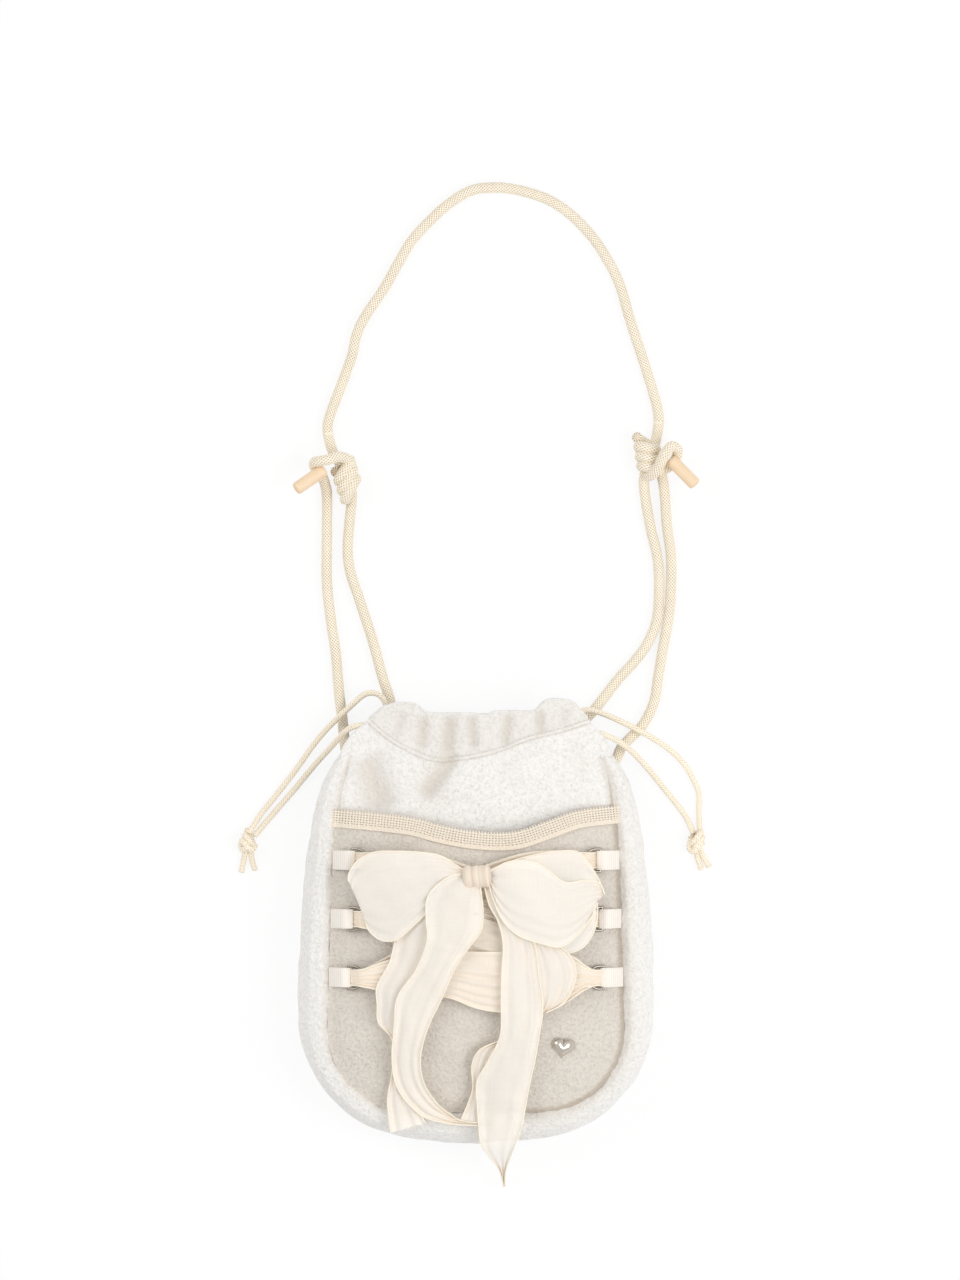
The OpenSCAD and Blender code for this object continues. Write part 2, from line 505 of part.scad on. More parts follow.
module strap_arch() color([0.93, 0.88, 0.78]) cord(arch_route, rope_d, 8, true, true);
module strap_loop_left() color([0.93, 0.88, 0.78]) {
    cord(left_outer_route, rope_d, 8, true, false);
    cord(left_inner_route, rope_d, 8, true, false);
}
module strap_loop_right() color([0.93, 0.88, 0.78]) {
    cord(right_inner_route, rope_d, 8, true, false);
    cord(right_outer_route, rope_d, 8, true, false);
}
module strap_anchor_left() color([0.93, 0.88, 0.78]) cord(left_anchor_route, rope_d, 8);
module strap_anchor_right() color([0.93, 0.88, 0.78]) cord(right_anchor_route, rope_d, 8);

// Side tab of twill round the rope, with a tongue sewn under the back panel
module strap_tab(at) translate(at) difference() {
    union() {
        rotate([0, 90, 0]) cylinder(r = rope_r + free + strap_tab_t, h = strap_tab_w, center = true);
        translate([-strap_tab_w / 2, 0, neck_lift - at[2] - sewn - strap_tab_t])
            cube([strap_tab_w, 16, strap_tab_t]);
    }
    rotate([0, 90, 0]) cylinder(r = rope_r + free, h = strap_tab_w + 2, center = true);
}
module strap_tab_left() color([0.9, 0.86, 0.8]) strap_tab(left_tab_at);
module strap_tab_right() color([0.9, 0.86, 0.8]) strap_tab(right_tab_at);

// Knot: turns of rope side by side, with a bight round the toggle and the end that leads to the arch
left_knot_at = [-64.5, 221, 7.2];
right_knot_at = [86, 232, 7.2];
left_toggle_at = [-77.8, 223.4, 13.5];
right_toggle_at = [99, 228, 13];
left_toggle_dir = [0, 75, 215];
right_toggle_dir = [0, 80, -46];
left_lead_route = [[-67, 227, 5.5], [-71, 233, 3.5], [-73.2, 239.4, 2.9]];
right_lead_route = [[88.5, 235, 5.5], [90, 240.5, 3.5], [90.9, 245, 2.9]];
left_link_route = [[-74.3, 218.4, 13.5], [-70.5, 218, 12.5], [-67, 219.5, 10]];
right_link_route = [[94.6, 223.7, 13], [92, 225.5, 11.5], [89.5, 227, 9.5]];
module rope_turn(r) rotate_extrude() translate([r, 0]) circle(d = rope_d);
module strap_knot(at, lean, toggle_at, dir) {
    translate(at) rotate([90, 0, lean]) {
        for (i = [0:knot_turns - 1])
            translate([0, 0, (i - (knot_turns - 1) / 2) * rope_d * 0.86]) rope_turn(4.3);
        cylinder(r = 4.3, h = knot_turns * rope_d * 0.8, center = true);
    }
    translate(toggle_at) rotate(dir) rope_turn(toggle_d / 2 + 0.15 + rope_r);
}
module strap_knot_left() color([0.92, 0.86, 0.76]) {
    strap_knot(left_knot_at, 18, left_toggle_at, left_toggle_dir);
    cord(left_lead_route, rope_d, 8);
    cord(left_link_route, rope_d, 8);
}
module strap_knot_right() color([0.92, 0.86, 0.76]) {
    strap_knot(right_knot_at, 8, right_toggle_at, right_toggle_dir);
    cord(right_lead_route, rope_d, 8);
    cord(right_link_route, rope_d, 8);
}

// Turned wooden toggle with eased ends
module toggle(at, dir) translate(at) rotate(dir) translate([0, 0, -rope_r - 0.15]) rotate_extrude()
    polygon([[0, 0], [toggle_d / 2 - 0.6, 0], [toggle_d / 2, 0.6], [toggle_d / 2, toggle_l - 0.6],
        [toggle_d / 2 - 0.6, toggle_l], [0, toggle_l]]);
module toggle_left() color([0.9, 0.78, 0.6]) toggle(left_toggle_at, left_toggle_dir);
module toggle_right() color([0.9, 0.78, 0.6]) toggle(right_toggle_at, right_toggle_dir);

// Drawstrings: straight through their casings, then over the rope and down to the table
left_front_route = [[50, left_run_y, front_mid_z], [-52, left_run_y, front_mid_z], [-58, left_run_y, front_mid_z],
    [-63, 96, 24], [-67, 92.5, 18], [-72, 87, 12], [-78, 80.5, 6.5], [-84, 73.5, 3], [-91, 65, 1.7], [-98, 57, 1.7],
    [-104, 50, 1.7], [-110.6, 42.2, 3.2]];
left_rear_route = [[30, left_run_y, rear_mid_z], [-30, left_run_y, rear_mid_z], [-36.8, left_run_y, rear_mid_z],
    [-41, 99.5, rear_mid_z], [-44, 103.5, 12], [-45.2, 108.5, 12], [-47.2, 111.8, 11.8], [-51, 113.6, 11.5],
    [-56, 112.6, 11], [-62, 107.5, 10.5], [-68.5, 101.5, 10],
    [-75.5, 94.5, 8], [-82, 86.5, 4.5], [-88, 78, 2], [-94, 70, 1.7], [-101, 61, 1.7], [-107.5, 53, 1.7],
    [-113.4, 43.6, 4.2]];
right_front_route = [[-50, right_run_y, front_mid_z], [54, right_run_y, front_mid_z], [60, right_run_y, front_mid_z],
    [66, 92, 24], [71, 89.5, 19], [77, 85, 13], [83, 79, 7.5], [89, 72, 3.5], [95, 64.5, 1.7], [101, 57, 1.7],
    [105.5, 50.5, 1.7], [108.6, 43.2, 3.4]];
right_rear_route = [[-30, right_run_y, rear_mid_z], [37, right_run_y, rear_mid_z], [42.5, 96, rear_mid_z],
    [46.5, 100, 12], [51, 104, 11.5], [57, 105, 10.5], [64, 103, 9.5], [72, 99.5, 9], [81, 95, 9], [89, 90.5, 8.8],
    [97, 85, 5.5], [104, 78, 2.5], [108.5, 70.5, 1.7], [111.5, 63, 1.7], [111.5, 55, 1.7], [111.8, 43.8, 4.2]];
left_knot_place = [-114.2, 39, 4.8];
right_knot_place = [111, 39.5, 4.8];

module drawstring_left_front() color([0.93, 0.87, 0.76]) cord(left_front_route, cord_d, 8);
module drawstring_left_rear() color([0.93, 0.87, 0.76]) cord(left_rear_route, cord_d, 8);
module drawstring_right_front() color([0.93, 0.87, 0.76]) cord(right_front_route, cord_d, 8);
module drawstring_right_rear() color([0.93, 0.87, 0.76]) cord(right_rear_route, cord_d, 8);
// Knot in two ends with two short tails
module tie(at, turn) {
    translate(at) rotate([90, 0, turn]) rotate_extrude()
        polygon([[0, -5.4], [2.2, -5.2], [3.9, -3.6], [cord_knot_r, -1.2], [cord_knot_r, 1.2],
            [3.9, 3.6], [2.2, 5.2], [0, 5.4]]);
}
left_tails = [[[-115.5, 34.5, 3.6], [-116, 30.5, 2.2], [-116.5, 27, 1.7], [-116.5, 24, 1.7]],
    [[-112.5, 34.5, 3.6], [-112, 30.5, 2.2], [-111.5, 27.5, 1.7], [-111, 25, 1.7]]];
right_tails = [[[112, 35, 3.6], [113.5, 31.5, 2.2], [115, 28.5, 1.7], [116.5, 25.5, 1.7]],
    [[109, 35, 3.6], [109.5, 31, 2.2], [110.5, 28, 1.7], [111.5, 25.5, 1.7]]];
module drawstring_left_knot() color([0.92, 0.85, 0.74]) {
    tie(left_knot_place, -32);
    for (t = left_tails) cord(t, cord_d, 8);
}
module drawstring_right_knot() color([0.92, 0.85, 0.74]) {
    tie(right_knot_place, 12);
    for (t = right_tails) cord(t, cord_d, 8);
}

back_panel();
front_panel();
gusset_upper();
gusset_lower();
front_casing();
rear_casing();
pocket_panel();
pocket_tape();
tab_left_top();
tab_left_middle();
tab_left_bottom();
tab_right_top();
tab_right_middle();
tab_right_bottom();
d_ring_left_top();
d_ring_left_middle();
d_ring_left_bottom();
d_ring_right_top();
d_ring_right_middle();
d_ring_right_bottom();
lacing_ribbon();
bow_loop_left();
bow_loop_right();
bow_knot();
bow_tail_left();
bow_tail_right();
heart_stud();
heart_stud_cap();
strap_tab_left();
strap_tab_right();
strap_anchor_left();
strap_anchor_right();
strap_loop_left();
strap_loop_right();
strap_knot_left();
strap_knot_right();
strap_arch();
toggle_left();
toggle_right();
drawstring_left_front();
drawstring_left_rear();
drawstring_left_knot();
drawstring_right_front();
drawstring_right_rear();
drawstring_right_knot();
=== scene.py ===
import bpy
import numpy as np
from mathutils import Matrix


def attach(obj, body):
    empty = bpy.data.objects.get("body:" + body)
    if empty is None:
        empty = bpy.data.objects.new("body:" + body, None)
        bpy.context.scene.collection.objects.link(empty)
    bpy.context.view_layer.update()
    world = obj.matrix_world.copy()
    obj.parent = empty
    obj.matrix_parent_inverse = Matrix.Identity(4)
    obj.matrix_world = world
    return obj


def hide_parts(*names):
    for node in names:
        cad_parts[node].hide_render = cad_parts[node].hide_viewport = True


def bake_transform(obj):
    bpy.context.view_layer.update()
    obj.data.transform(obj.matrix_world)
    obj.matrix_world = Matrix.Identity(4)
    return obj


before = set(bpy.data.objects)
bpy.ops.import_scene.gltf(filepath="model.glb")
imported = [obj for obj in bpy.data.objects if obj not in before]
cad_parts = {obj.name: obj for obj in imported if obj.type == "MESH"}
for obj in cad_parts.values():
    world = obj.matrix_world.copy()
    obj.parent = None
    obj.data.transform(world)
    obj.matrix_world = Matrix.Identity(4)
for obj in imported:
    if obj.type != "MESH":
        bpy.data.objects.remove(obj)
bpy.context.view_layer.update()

scene = bpy.context.scene


# Table: a white sheet of card that the pouch lies on, seen from straight above at half a millimetre
# to a pixel. Two wide soft lamps stand left and right of it, and pale light comes from all round.
class Wire:
    """A shader socket that takes part in sums, and that can add any other node to its tree."""

    def __init__(self, tree, socket=None):
        self.tree, self.socket = tree, socket

    def node(self, kind, settings, sockets, out=0):
        """A new node of a kind, with its settings and the values or wires of its sockets."""
        made = self.tree.nodes.new("ShaderNode" + kind)
        for key, value in settings.items():
            setattr(made, key, value)
        for key, value in sockets.items():
            if isinstance(value, Wire):
                self.tree.links.new(value.socket, made.inputs[key])
            else:
                made.inputs[key].default_value = value
        return Wire(self.tree, made.outputs[out])

    def into(self, shader, name):
        self.tree.links.new(self.socket, shader.inputs[name])

    def maths(self, operation, *others):
        return self.node("Math", {"operation": operation}, dict(enumerate((self,) + others)))

    def held(self, low, high):
        """This value, kept between two limits."""
        return self.maths("MAXIMUM", low).maths("MINIMUM", high)

    def attribute(self, name, out="Fac"):
        """What a piece's mesh says at each point."""
        return self.node("Attribute", {"attribute_name": name}, {}, out)

    def noise(self, scale, detail, **more):
        """Clouds of noise on these coordinates."""
        return self.node("TexNoise", {}, {"Vector": self, "Scale": scale, "Detail": detail, **more})

    def mix(self, start, end):
        """A colour that goes from one to the other as this value goes from 0 to 1."""
        return self.node("Mix", {"data_type": "RGBA"}, {0: self, 6: start, 7: end}, 2)

    def bump(self, strength, distance):
        """A surface that stands up where this value is high."""
        return self.node("Bump", {}, {"Strength": strength, "Distance": distance, "Height": self})

    def __add__(self, other):
        return self.maths("ADD", other)

    def __mul__(self, other):
        return self.maths("MULTIPLY", other)

    def __sub__(self, other):
        return self.maths("SUBTRACT", other)

    def __rsub__(self, other):
        return self.node("Math", {"operation": "SUBTRACT"}, {0: other, 1: self})

    __radd__, __rmul__ = __add__, __mul__


def finish(name, **settings):
    """A new finish: the material, its shader, and a wire from the piece's own coordinates."""
    material = bpy.data.materials.new(name)
    material.use_nodes = True
    shader = material.node_tree.nodes["Principled BSDF"]
    for key, value in settings.items():
        shader.inputs[key.replace("_", " ")].default_value = value
    place = Wire(material.node_tree).node("TexCoord", {}, {}, "Object")
    return material, shader, place


card, card_shader, _ = finish("white_card", Base_Color=(0.98, 0.98, 0.98, 1), Roughness=0.9)
table_half, table_z = 4.0, -0.0004
tree = card.node_tree
path_kind = tree.nodes.new("ShaderNodeLightPath")
seen = Wire(tree, path_kind.outputs["Is Camera Ray"])
for ray in ("Is Glossy Ray", "Is Transmission Ray"):
    seen = seen.maths("MAXIMUM", Wire(tree, path_kind.outputs[ray]))
glow = seen.node("Emission", {}, {"Color": (1, 1, 1, 1), "Strength": 1.0})
shown = seen.node("MixShader", {}, {0: seen * 0.85, 1: Wire(tree, card_shader.outputs[0]), 2: glow})
shown.into(tree.nodes["Material Output"], "Surface")
card_mesh = bpy.data.meshes.new("table")
corners = [(x * table_half, y * table_half, table_z) for x, y in ((-1, -1), (1, -1), (1, 1), (-1, 1))]
card_mesh.from_pydata(corners, [], [(0, 1, 2, 3)])
card_mesh.materials.append(card)
table = bpy.data.objects.new("table", card_mesh)
scene.collection.objects.link(table)

scene.view_settings.view_transform = "Standard"
scene.world = bpy.data.worlds.new("pale_room")
scene.world.use_nodes = True
tree = scene.world.node_tree
room = tree.nodes["Background"]
path_kind = tree.nodes.new("ShaderNodeLightPath")
room.inputs["Color"].default_value = (1, 1, 1, 1)
(Wire(tree, path_kind.outputs["Is Camera Ray"]) * 0.34 + 0.66).into(room, "Strength")

lamp_z = 1.25
for name, x, y, power in (("lamp_left", -0.9, 0.5, 5.6), ("lamp_right", 0.9, -0.2, 9)):
    lamp = bpy.data.objects.new(name, bpy.data.lights.new(name, "AREA"))
    lamp.data.shape, lamp.data.size, lamp.data.energy = "SQUARE", 0.9, power
    lamp.location = (x, y + 0.1, lamp_z)
    lamp.rotation_euler = (np.arctan2(-y, lamp_z), np.arctan2(x, lamp_z), 0)
    scene.collection.objects.link(lamp)

camera = bpy.data.objects.new("camera", bpy.data.cameras.new("camera"))
camera.data.lens, camera.data.sensor_width, camera.data.clip_end = 225, 36, 20
camera.location = (0.002, 0.140, 4.0)
scene.collection.objects.link(camera)
scene.camera = camera


# Strap: one length of braided cotton rope. It runs round a hidden tab at each shoulder, rises in two
# strands a side to a wrapped knot, and crosses over the top in a wide arch that lies on the table.
def colour(red, green, blue):
    """A colour written as it looks on a screen, from 0 to 255."""
    c = np.array([red, green, blue]) / 255
    c = np.where(c <= 0.04045, c / 12.92, ((c + 0.055) / 1.055) ** 2.4)
    return (*c.tolist(), 1)


def piece(name, bit, material):
    """A smooth mesh from points in millimetres, faces and a skin value at each point: a height, or a share of
    painted shade.
    """
    points, faces, skin = bit
    mesh = bpy.data.meshes.new(name)
    mesh.from_pydata((np.asarray(points, float) * 0.001).tolist(), [], faces)
    mesh.attributes.new("skin", "FLOAT", "POINT").data.foreach_set("value", np.asarray(skin, np.float32))
    mesh.materials.append(material)
    mesh.shade_smooth()
    made = bpy.data.objects.new(name, mesh)
    scene.collection.objects.link(made)
    return made


def fixed(made, body, slot, *nodes):
    """Fixes a piece to its body and hides the plain solids that it stands for; the name of its finish is
    given but not used.
    """
    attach(made, body)
    if nodes:
        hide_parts(*nodes)
    return made


def unit(ways):
    """The same directions, each with a length of 1."""
    return ways / np.linalg.norm(ways, axis=-1, keepdims=True)


def distance_along(line):
    """How far along a line each of its points is."""
    return np.concatenate([[0], np.cumsum(np.linalg.norm(np.diff(line, axis=0), axis=1))])


def between(a, b, c, d, t):
    """A place on the smooth curve from b to c, with a before them and d after them."""
    return b + 0.5 * t * (c - a + t * (2 * a - 5 * b + 4 * c - d + t * (3 * b - a - 3 * c + d)))


def curve_through(points, step):
    """Points every step along a smooth curve through the given ones."""
    p = np.array(points, float)
    q = np.vstack([2 * p[0] - p[1], p, 2 * p[-1] - p[-2]])
    t = np.linspace(0, 1, 16, endpoint=False)[:, None]
    bits = [between(a, b, c, d, t) for a, b, c, d in zip(q[:-3], q[1:-2], q[2:-1], q[3:])]
    line = np.vstack(bits + [p[-1:]])
    far = distance_along(line)
    even = np.linspace(0, far[-1], max(3, int(round(far[-1] / step)) + 1))
    return np.stack([np.interp(even, far, line[:, k]) for k in range(3)], axis=1)


def braid(turn, along, strands, lay):
    """Height of a braided skin, 1 on top of a strand: two sets of strands pass over and under."""
    u = strands * (turn / (2 * np.pi) + along / lay)
    v = strands * (turn / (2 * np.pi) - along / lay)
    round_u = np.sqrt(np.clip(1 - (2 * (u % 1) - 1) ** 2, 0, 1))
    round_v = np.sqrt(np.clip(1 - (2 * (v % 1) - 1) ** 2, 0, 1))
    over_u = 0.5 * round_u + 0.5 * np.sin(np.pi * (v + np.floor(u)))
    over_v = 0.5 * round_v - 0.5 * np.sin(np.pi * (u + np.floor(v)))
    return np.maximum(over_u, over_v)


def ring_faces(n, around):
    """Faces of a tube with so many rings of points, closed by a tip at each end."""
    at = np.arange(n * around).reshape(n, around)
    nxt = np.roll(at, -1, axis=1)
    faces = np.stack([at[:-1], at[1:], nxt[1:], nxt[:-1]], axis=-1).reshape(-1, 4).tolist()
    first, last = n * around, n * around + 1
    faces += [(first, a, b) for a, b in zip(at[0], nxt[0])]
    return faces + [(last, b, a) for a, b in zip(at[-1], nxt[-1])]


def tube(path, radius, around, relief):
    """Points and faces of a closed tube round a path; relief gives a height from 0 to 1 and its depth."""
    d = unit(np.gradient(path, axis=0))
    side = np.cross(d[0], (0.0, 0.0, 1.0) if abs(d[0][2]) < 0.9 else (1.0, 0.0, 0.0))
    sides = []
    for way in d:
        side = unit(side - way * side.dot(way))
        sides.append(side)
    sides = np.array(sides)
    ups = np.cross(sides, d)
    turn, along = np.meshgrid(np.arange(around) * 2 * np.pi / around, distance_along(path))
    height, depth = relief(turn, along)
    outward = np.cos(turn)[..., None] * sides[:, None] + np.sin(turn)[..., None] * ups[:, None]
    skin = path[:, None] + (radius - depth * (1 - height))[..., None] * outward
    tips = [path[:1] - d[:1] * radius * 0.35, path[-1:] + d[-1:] * radius * 0.35]
    points = np.vstack([skin.reshape(-1, 3)] + tips)
    return points, ring_faces(len(path), around), np.concatenate([height.ravel(), [0.6, 0.6]])


def joined(*bits):
    """Several bits of mesh as one, with their skin values."""
    points, faces, heights, count = [], [], [], 0
    for p, f, h in bits:
        points.append(p)
        faces += [tuple(int(i) + count for i in face) for face in f]
        heights.append(h)
        count += len(p)
    return np.vstack(points), faces, np.concatenate(heights)


def cotton(name, light, hollow_shade, yarn):
    """Undyed cotton: painted shade in the hollows between strands, with fine yarn lines and a few slubs."""
    material, shader, place = finish(name, Roughness=0.88, Sheen_Weight=0.25, Sheen_Roughness=0.5)
    fibre, slub = place.noise(yarn, 3, Roughness=0.6), place.noise(90, 2)
    # Painted shade: where the braid's skin is low, in the hollows, the cotton takes its darker colour.
    share = (place.attribute("skin") * 2.7 + fibre * 0.3 + slub * 0.3 - 1.25).held(0.0, 1.0)
    share.mix(hollow_shade, light).into(shader, "Base Color")
    fibre.bump(0.35, 0.0003).into(shader, "Normal")
    return material


rope_cotton = cotton("rope_cotton", colour(255, 246, 226), colour(158, 122, 80), 2600)
rope_d, rope_lie = 5.5, 2.9
rope_make = {"diameter": rope_d, "step": 0.38, "around": 60, "strands": 10, "lay": 16.8, "relief": 0.6}


def braided(routes, diameter, step, around, strands, lay, relief):
    """Bits of rope or cord along the given routes, with so many strands a way in its sleeve."""
    skin = lambda turn, along: (braid(turn, along, strands, lay), relief)
    return joined(*(tube(curve_through(route, step), diameter / 2, around, skin) for route in routes))


def laid(points, lie):
    """A route through places, of which those without a height lie on the table."""
    return [p if len(p) == 3 else (*p, lie) for p in points]


arch_route = laid([
    (-74, 242.5), (-74, 248), (-72, 255), (-67, 268), (-62, 282), (-59.5, 293), (-54.5, 303), (-46, 315.5),
    (-39, 328), (-32, 339.5), (-23.5, 349), (-13.5, 358), (-2.5, 364.5), (7.5, 366), (17, 365.5), (28, 363),
    (38, 359), (48, 352), (58, 341.5), (66, 329.5), (72, 317), (76.5, 301.5), (81.5, 286), (86.5, 270.5),
    (90.5, 256.5), (91.5, 248)], rope_lie)
left_loop_route = laid([
    (-77, 222.5, 6.5), (-75.5, 218, 4), (-74.5, 212), (-74.5, 194), (-74.5, 169), (-72.5, 150), (-70, 133),
    (-69, 121), (-68, 110), (-66.5, 98), (-65.5, 88, 3.4), (-64, 82.5, 4.2), (-60, 78.2, 4.4),
    (-57.2, 76.5, 4.4), (-50.8, 76.5, 4.4), (-48, 78.2, 4.4), (-44, 82.5, 4.2), (-42.5, 88, 3.4), (-42, 98),
    (-43, 110), (-46.5, 121), (-52, 141), (-58.5, 161), (-63, 175), (-64, 188), (-62, 211, 3.5),
    (-62.5, 217, 5)], rope_lie)
right_loop_route = laid([
    (84.5, 225, 5), (84, 216, 3.5), (87, 197), (90.5, 182), (91.5, 169), (90.5, 151), (85.5, 138),
    (78, 128), (71.5, 121), (64.5, 112), (58.5, 104.5), (53.5, 99), (49.5, 93, 3.2), (48.5, 86, 3.6),
    (50, 80.5, 4.2), (54, 76.2, 4.4), (56.8, 74.5, 4.4), (63.2, 74.5, 4.4), (66, 76.2, 4.4),
    (70, 80.5, 4.2), (72.5, 86, 3.6), (77, 91), (82.5, 96.5), (86.5, 103), (89.5, 111), (91, 121),
    (93, 133), (96.5, 153), (97.5, 167), (97.5, 182), (95.5, 197), (94, 216, 3.5), (92, 225, 5)], rope_lie)


def barrel_of_turns(at, lean, tilt, turns, radius, pitch):
    """Route of rope wound round a knot, each turn leaning across the knot."""
    a = np.linspace(-0.5, turns - 0.5, turns * 14 + 1) * 2 * np.pi
    down = np.array([np.sin(np.radians(lean)), -np.cos(np.radians(lean)), 0])
    across = np.array([down[1], -down[0], 0]) * -1
    rise = (a / (2 * np.pi) - (turns - 1) / 2) * pitch - tilt * radius * np.cos(a)
    ring = across * radius * np.cos(a)[:, None] + np.array([0, 0, radius]) * np.sin(a)[:, None]
    return np.array(at) + down * rise[:, None] + ring


knot_bits = {
    "left": (barrel_of_turns((-64.5, 221, 7.2), 18, 0.65, 3, 4.3, 4.9),
             [(-77, 222.5, 6.5), (-80.3, 226, 9), (-80.6, 228.4, 13), (-78, 229, 16.6),
              (-73.5, 229.8, 17.6), (-68.5, 231.2, 15.4), (-64.5, 230.4, 12.2), (-62, 227.5, 8)],
             [(-67, 227, 5.5), (-71, 233, 3.5), (-73.2, 239.4, rope_lie), (-74, 243.5, rope_lie)]),
    "right": (barrel_of_turns((86, 232, 7.2), 8, -0.6, 3, 4.3, 4.9),
              [(92, 225, 5), (95.5, 226, 6), (99.5, 230, 8.5), (100.5, 234.5, 12.5), (97.5, 236.5, 16),
               (94, 232.5, 17.5), (91, 226.5, 15.5), (88, 222.5, 12), (85.5, 221.6, 8)],
              [(88.5, 235, 5.5), (90, 240.5, 3.5), (90.9, 245, rope_lie), (91.5, 249, rope_lie)])}
strap_knots = {}
for side, bits in knot_bits.items():
    strap_knots[side] = piece("strap_knot_%s_rope" % side, braided(bits, **rope_make), rope_cotton)
    fixed(strap_knots[side], "strap_loops", "rope", "strap_knot_" + side)


def strand(name, route, start, end, below, above, knots, far_end, length, *nodes):
    """A run of rope along a route, which hides the plain solids that it stands for; its bodies, hinge lines,
    knots, far end and length are not used.
    """
    made = piece(name, braided([route], **rope_make), rope_cotton)
    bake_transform(made)
    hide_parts(*nodes)
    path = curve_through(route, 4) * 0.001


strand("strap_loop_left_rope", left_loop_route, (-0.058, 0.111, 0.0029), (-0.058, 0.131, 0.0029), "pouch",
       "strap_loops", [strap_knots["left"]], "knot", 0.305, "strap_loop_left", "strap_anchor_left")
strand("strap_loop_right_rope", right_loop_route, (0.08, 0.111, 0.0029), (0.08, 0.131, 0.0029), "pouch",
       "strap_loops", [strap_knots["right"]], "knot", 0.337, "strap_loop_right", "strap_anchor_right")
strand("strap_arch_rope", arch_route, (0.0089, 0.2393, 0.0029), (0.0085, 0.2552, 0.0029), "strap_loops",
       "strap_top", [], "object", 0.315, "strap_arch")


# Toggles: two short dowels of pale wood with eased ends. Each is pushed through the bight of a strap knot,
# where the rope grips it, and slides out along its own length.
wood, wood_shader, place = finish("pale_dowel", Roughness=0.55)
streaks = place.attribute("grain", "Vector").noise(1.5, 4, Roughness=0.65, Distortion=0.6)
tone = (streaks * 1.5 - 0.35 - place.attribute("skin") * 0.45).held(0.0, 1.0)
tone.mix(colour(238, 206, 168), colour(252, 235, 208)).into(wood_shader, "Base Color")
streaks.bump(0.25, 0.0002).into(wood_shader, "Normal")
grain_stretch, toggle_inside, toggle_face_r = 0.07, 2.9, 2.5


def turned(profile, at, way, around):
    """A piece turned on a lathe: radius and distance pairs along a way from a place."""
    way = unit(np.array(way))
    across = unit(np.cross(way, (0, 0, 1.0)))
    other = np.cross(way, across)
    a = np.arange(around) * 2 * np.pi / around
    ring = np.cos(a)[:, None] * across + np.sin(a)[:, None] * other
    skin = np.array([np.array(at) + way * d + ring * r for r, d in profile])
    ends = [np.array(at) + way * profile[0][1], np.array(at) + way * profile[-1][1]]
    faces = [face[::-1] for face in ring_faces(len(profile), around)]
    local = [(r * np.cos(t), r * np.sin(t), d * grain_stretch) for r, d in profile for t in a]
    local += [(0, 0, profile[0][1] * grain_stretch), (0, 0, profile[-1][1] * grain_stretch)]
    return np.vstack([skin.reshape(-1, 3), ends]), faces, np.array(local)


toggle_profile = [
    (1.2, 0), (2.3, 0.05), (2.75, 0.2), (3.05, 0.5), (3.2, 0.95), (3.25, 2), (3.25, 9), (3.25, 16),
    (3.2, 17.05), (3.05, 17.5), (2.75, 17.8), (2.3, 17.95), (1.2, 18)]
for side, at, way in (("left", (-77.8, 223.4, 13.5), (-0.79124, -0.554033, 0.258819)),
                      ("right", (99, 228, 13), (0.684105, -0.708411, 0.173648))):
    points, faces, local = turned(toggle_profile, np.array(at) - toggle_inside * np.array(way), way, 40)
    ends = (np.hypot(local[:, 0], local[:, 1]) < toggle_face_r).astype(float)
    toggle = piece("toggle_%s_wood" % side, (points, faces, ends), wood)
    toggle.data.attributes.new("grain", "FLOAT_VECTOR", "POINT").data.foreach_set("vector", local.ravel())
    fixed(toggle, side + "_toggle", "wood", "toggle_" + side)


# Drawstrings: two thin braided cotton cords in the casings. Both ends of one leave on the left and both
# ends of the other on the right, where they are tied together in an overhand knot with short tails.
cord_cotton = cotton("cord_cotton", colour(255, 245, 225), colour(200, 173, 135), 3200)
cord_d, cord_lie = 3.0, 1.7
cord_make = {"diameter": cord_d, "step": 0.5, "around": 24, "strands": 6, "lay": 9.5, "relief": 0.24}
left_run_y, right_run_y, front_mid_z, rear_mid_z = 97.6, 94.0, 26.75, 12.25


def in_casing(y, z, *places):
    """The straight run of a cord inside a casing."""
    return [(x, y, z) for x in places]


drawstrings = {
    "left_front": in_casing(left_run_y, front_mid_z, 50, 20, -20, -52, -58) + laid([
        (-63, 96, 24), (-67, 92.5, 18), (-72, 87, 12), (-78, 80.5, 6.5), (-84, 73.5, 3), (-91, 65),
        (-98, 57), (-104, 50), (-110.6, 42.2, 3.2)], cord_lie),
    "left_rear": in_casing(left_run_y, rear_mid_z, 30, 0, -30, -36.8) + laid([
        (-41, 99.5, rear_mid_z), (-44, 103.5, 12), (-45.2, 108.5, 12), (-47.2, 111.8, 11.8),
        (-51, 113.6, 11.5), (-56, 112.6, 11), (-62, 107.5, 10.5), (-68.5, 101.5, 10), (-75.5, 94.5, 8),
        (-82, 86.5, 4.5), (-88, 78, 2), (-94, 70), (-101, 61), (-107.5, 53), (-113.4, 43.6, 4.2)], cord_lie),
    "right_front": in_casing(right_run_y, front_mid_z, -50, -20, 20, 54, 60) + laid([
        (66, 92, 24), (71, 89.5, 19), (77, 85, 13), (83, 79, 7.5), (89, 72, 3.5), (95, 64.5), (101, 57),
        (105.5, 50.5), (108.6, 43.2, 3.4)], cord_lie),
    "right_rear": in_casing(right_run_y, rear_mid_z, -30, 0, 37) + laid([
        (42.5, 96, rear_mid_z), (46.5, 100, 12), (51, 104, 11.5), (57, 105, 10.5), (64, 103, 9.5),
        (72, 99.5, 9), (81, 95, 9), (89, 90.5, 8.8), (97, 85, 5.5), (104, 78, 2.5), (108.5, 70.5),
        (111.5, 63), (111.5, 55), (111.8, 43.8, 4.2)], cord_lie)}
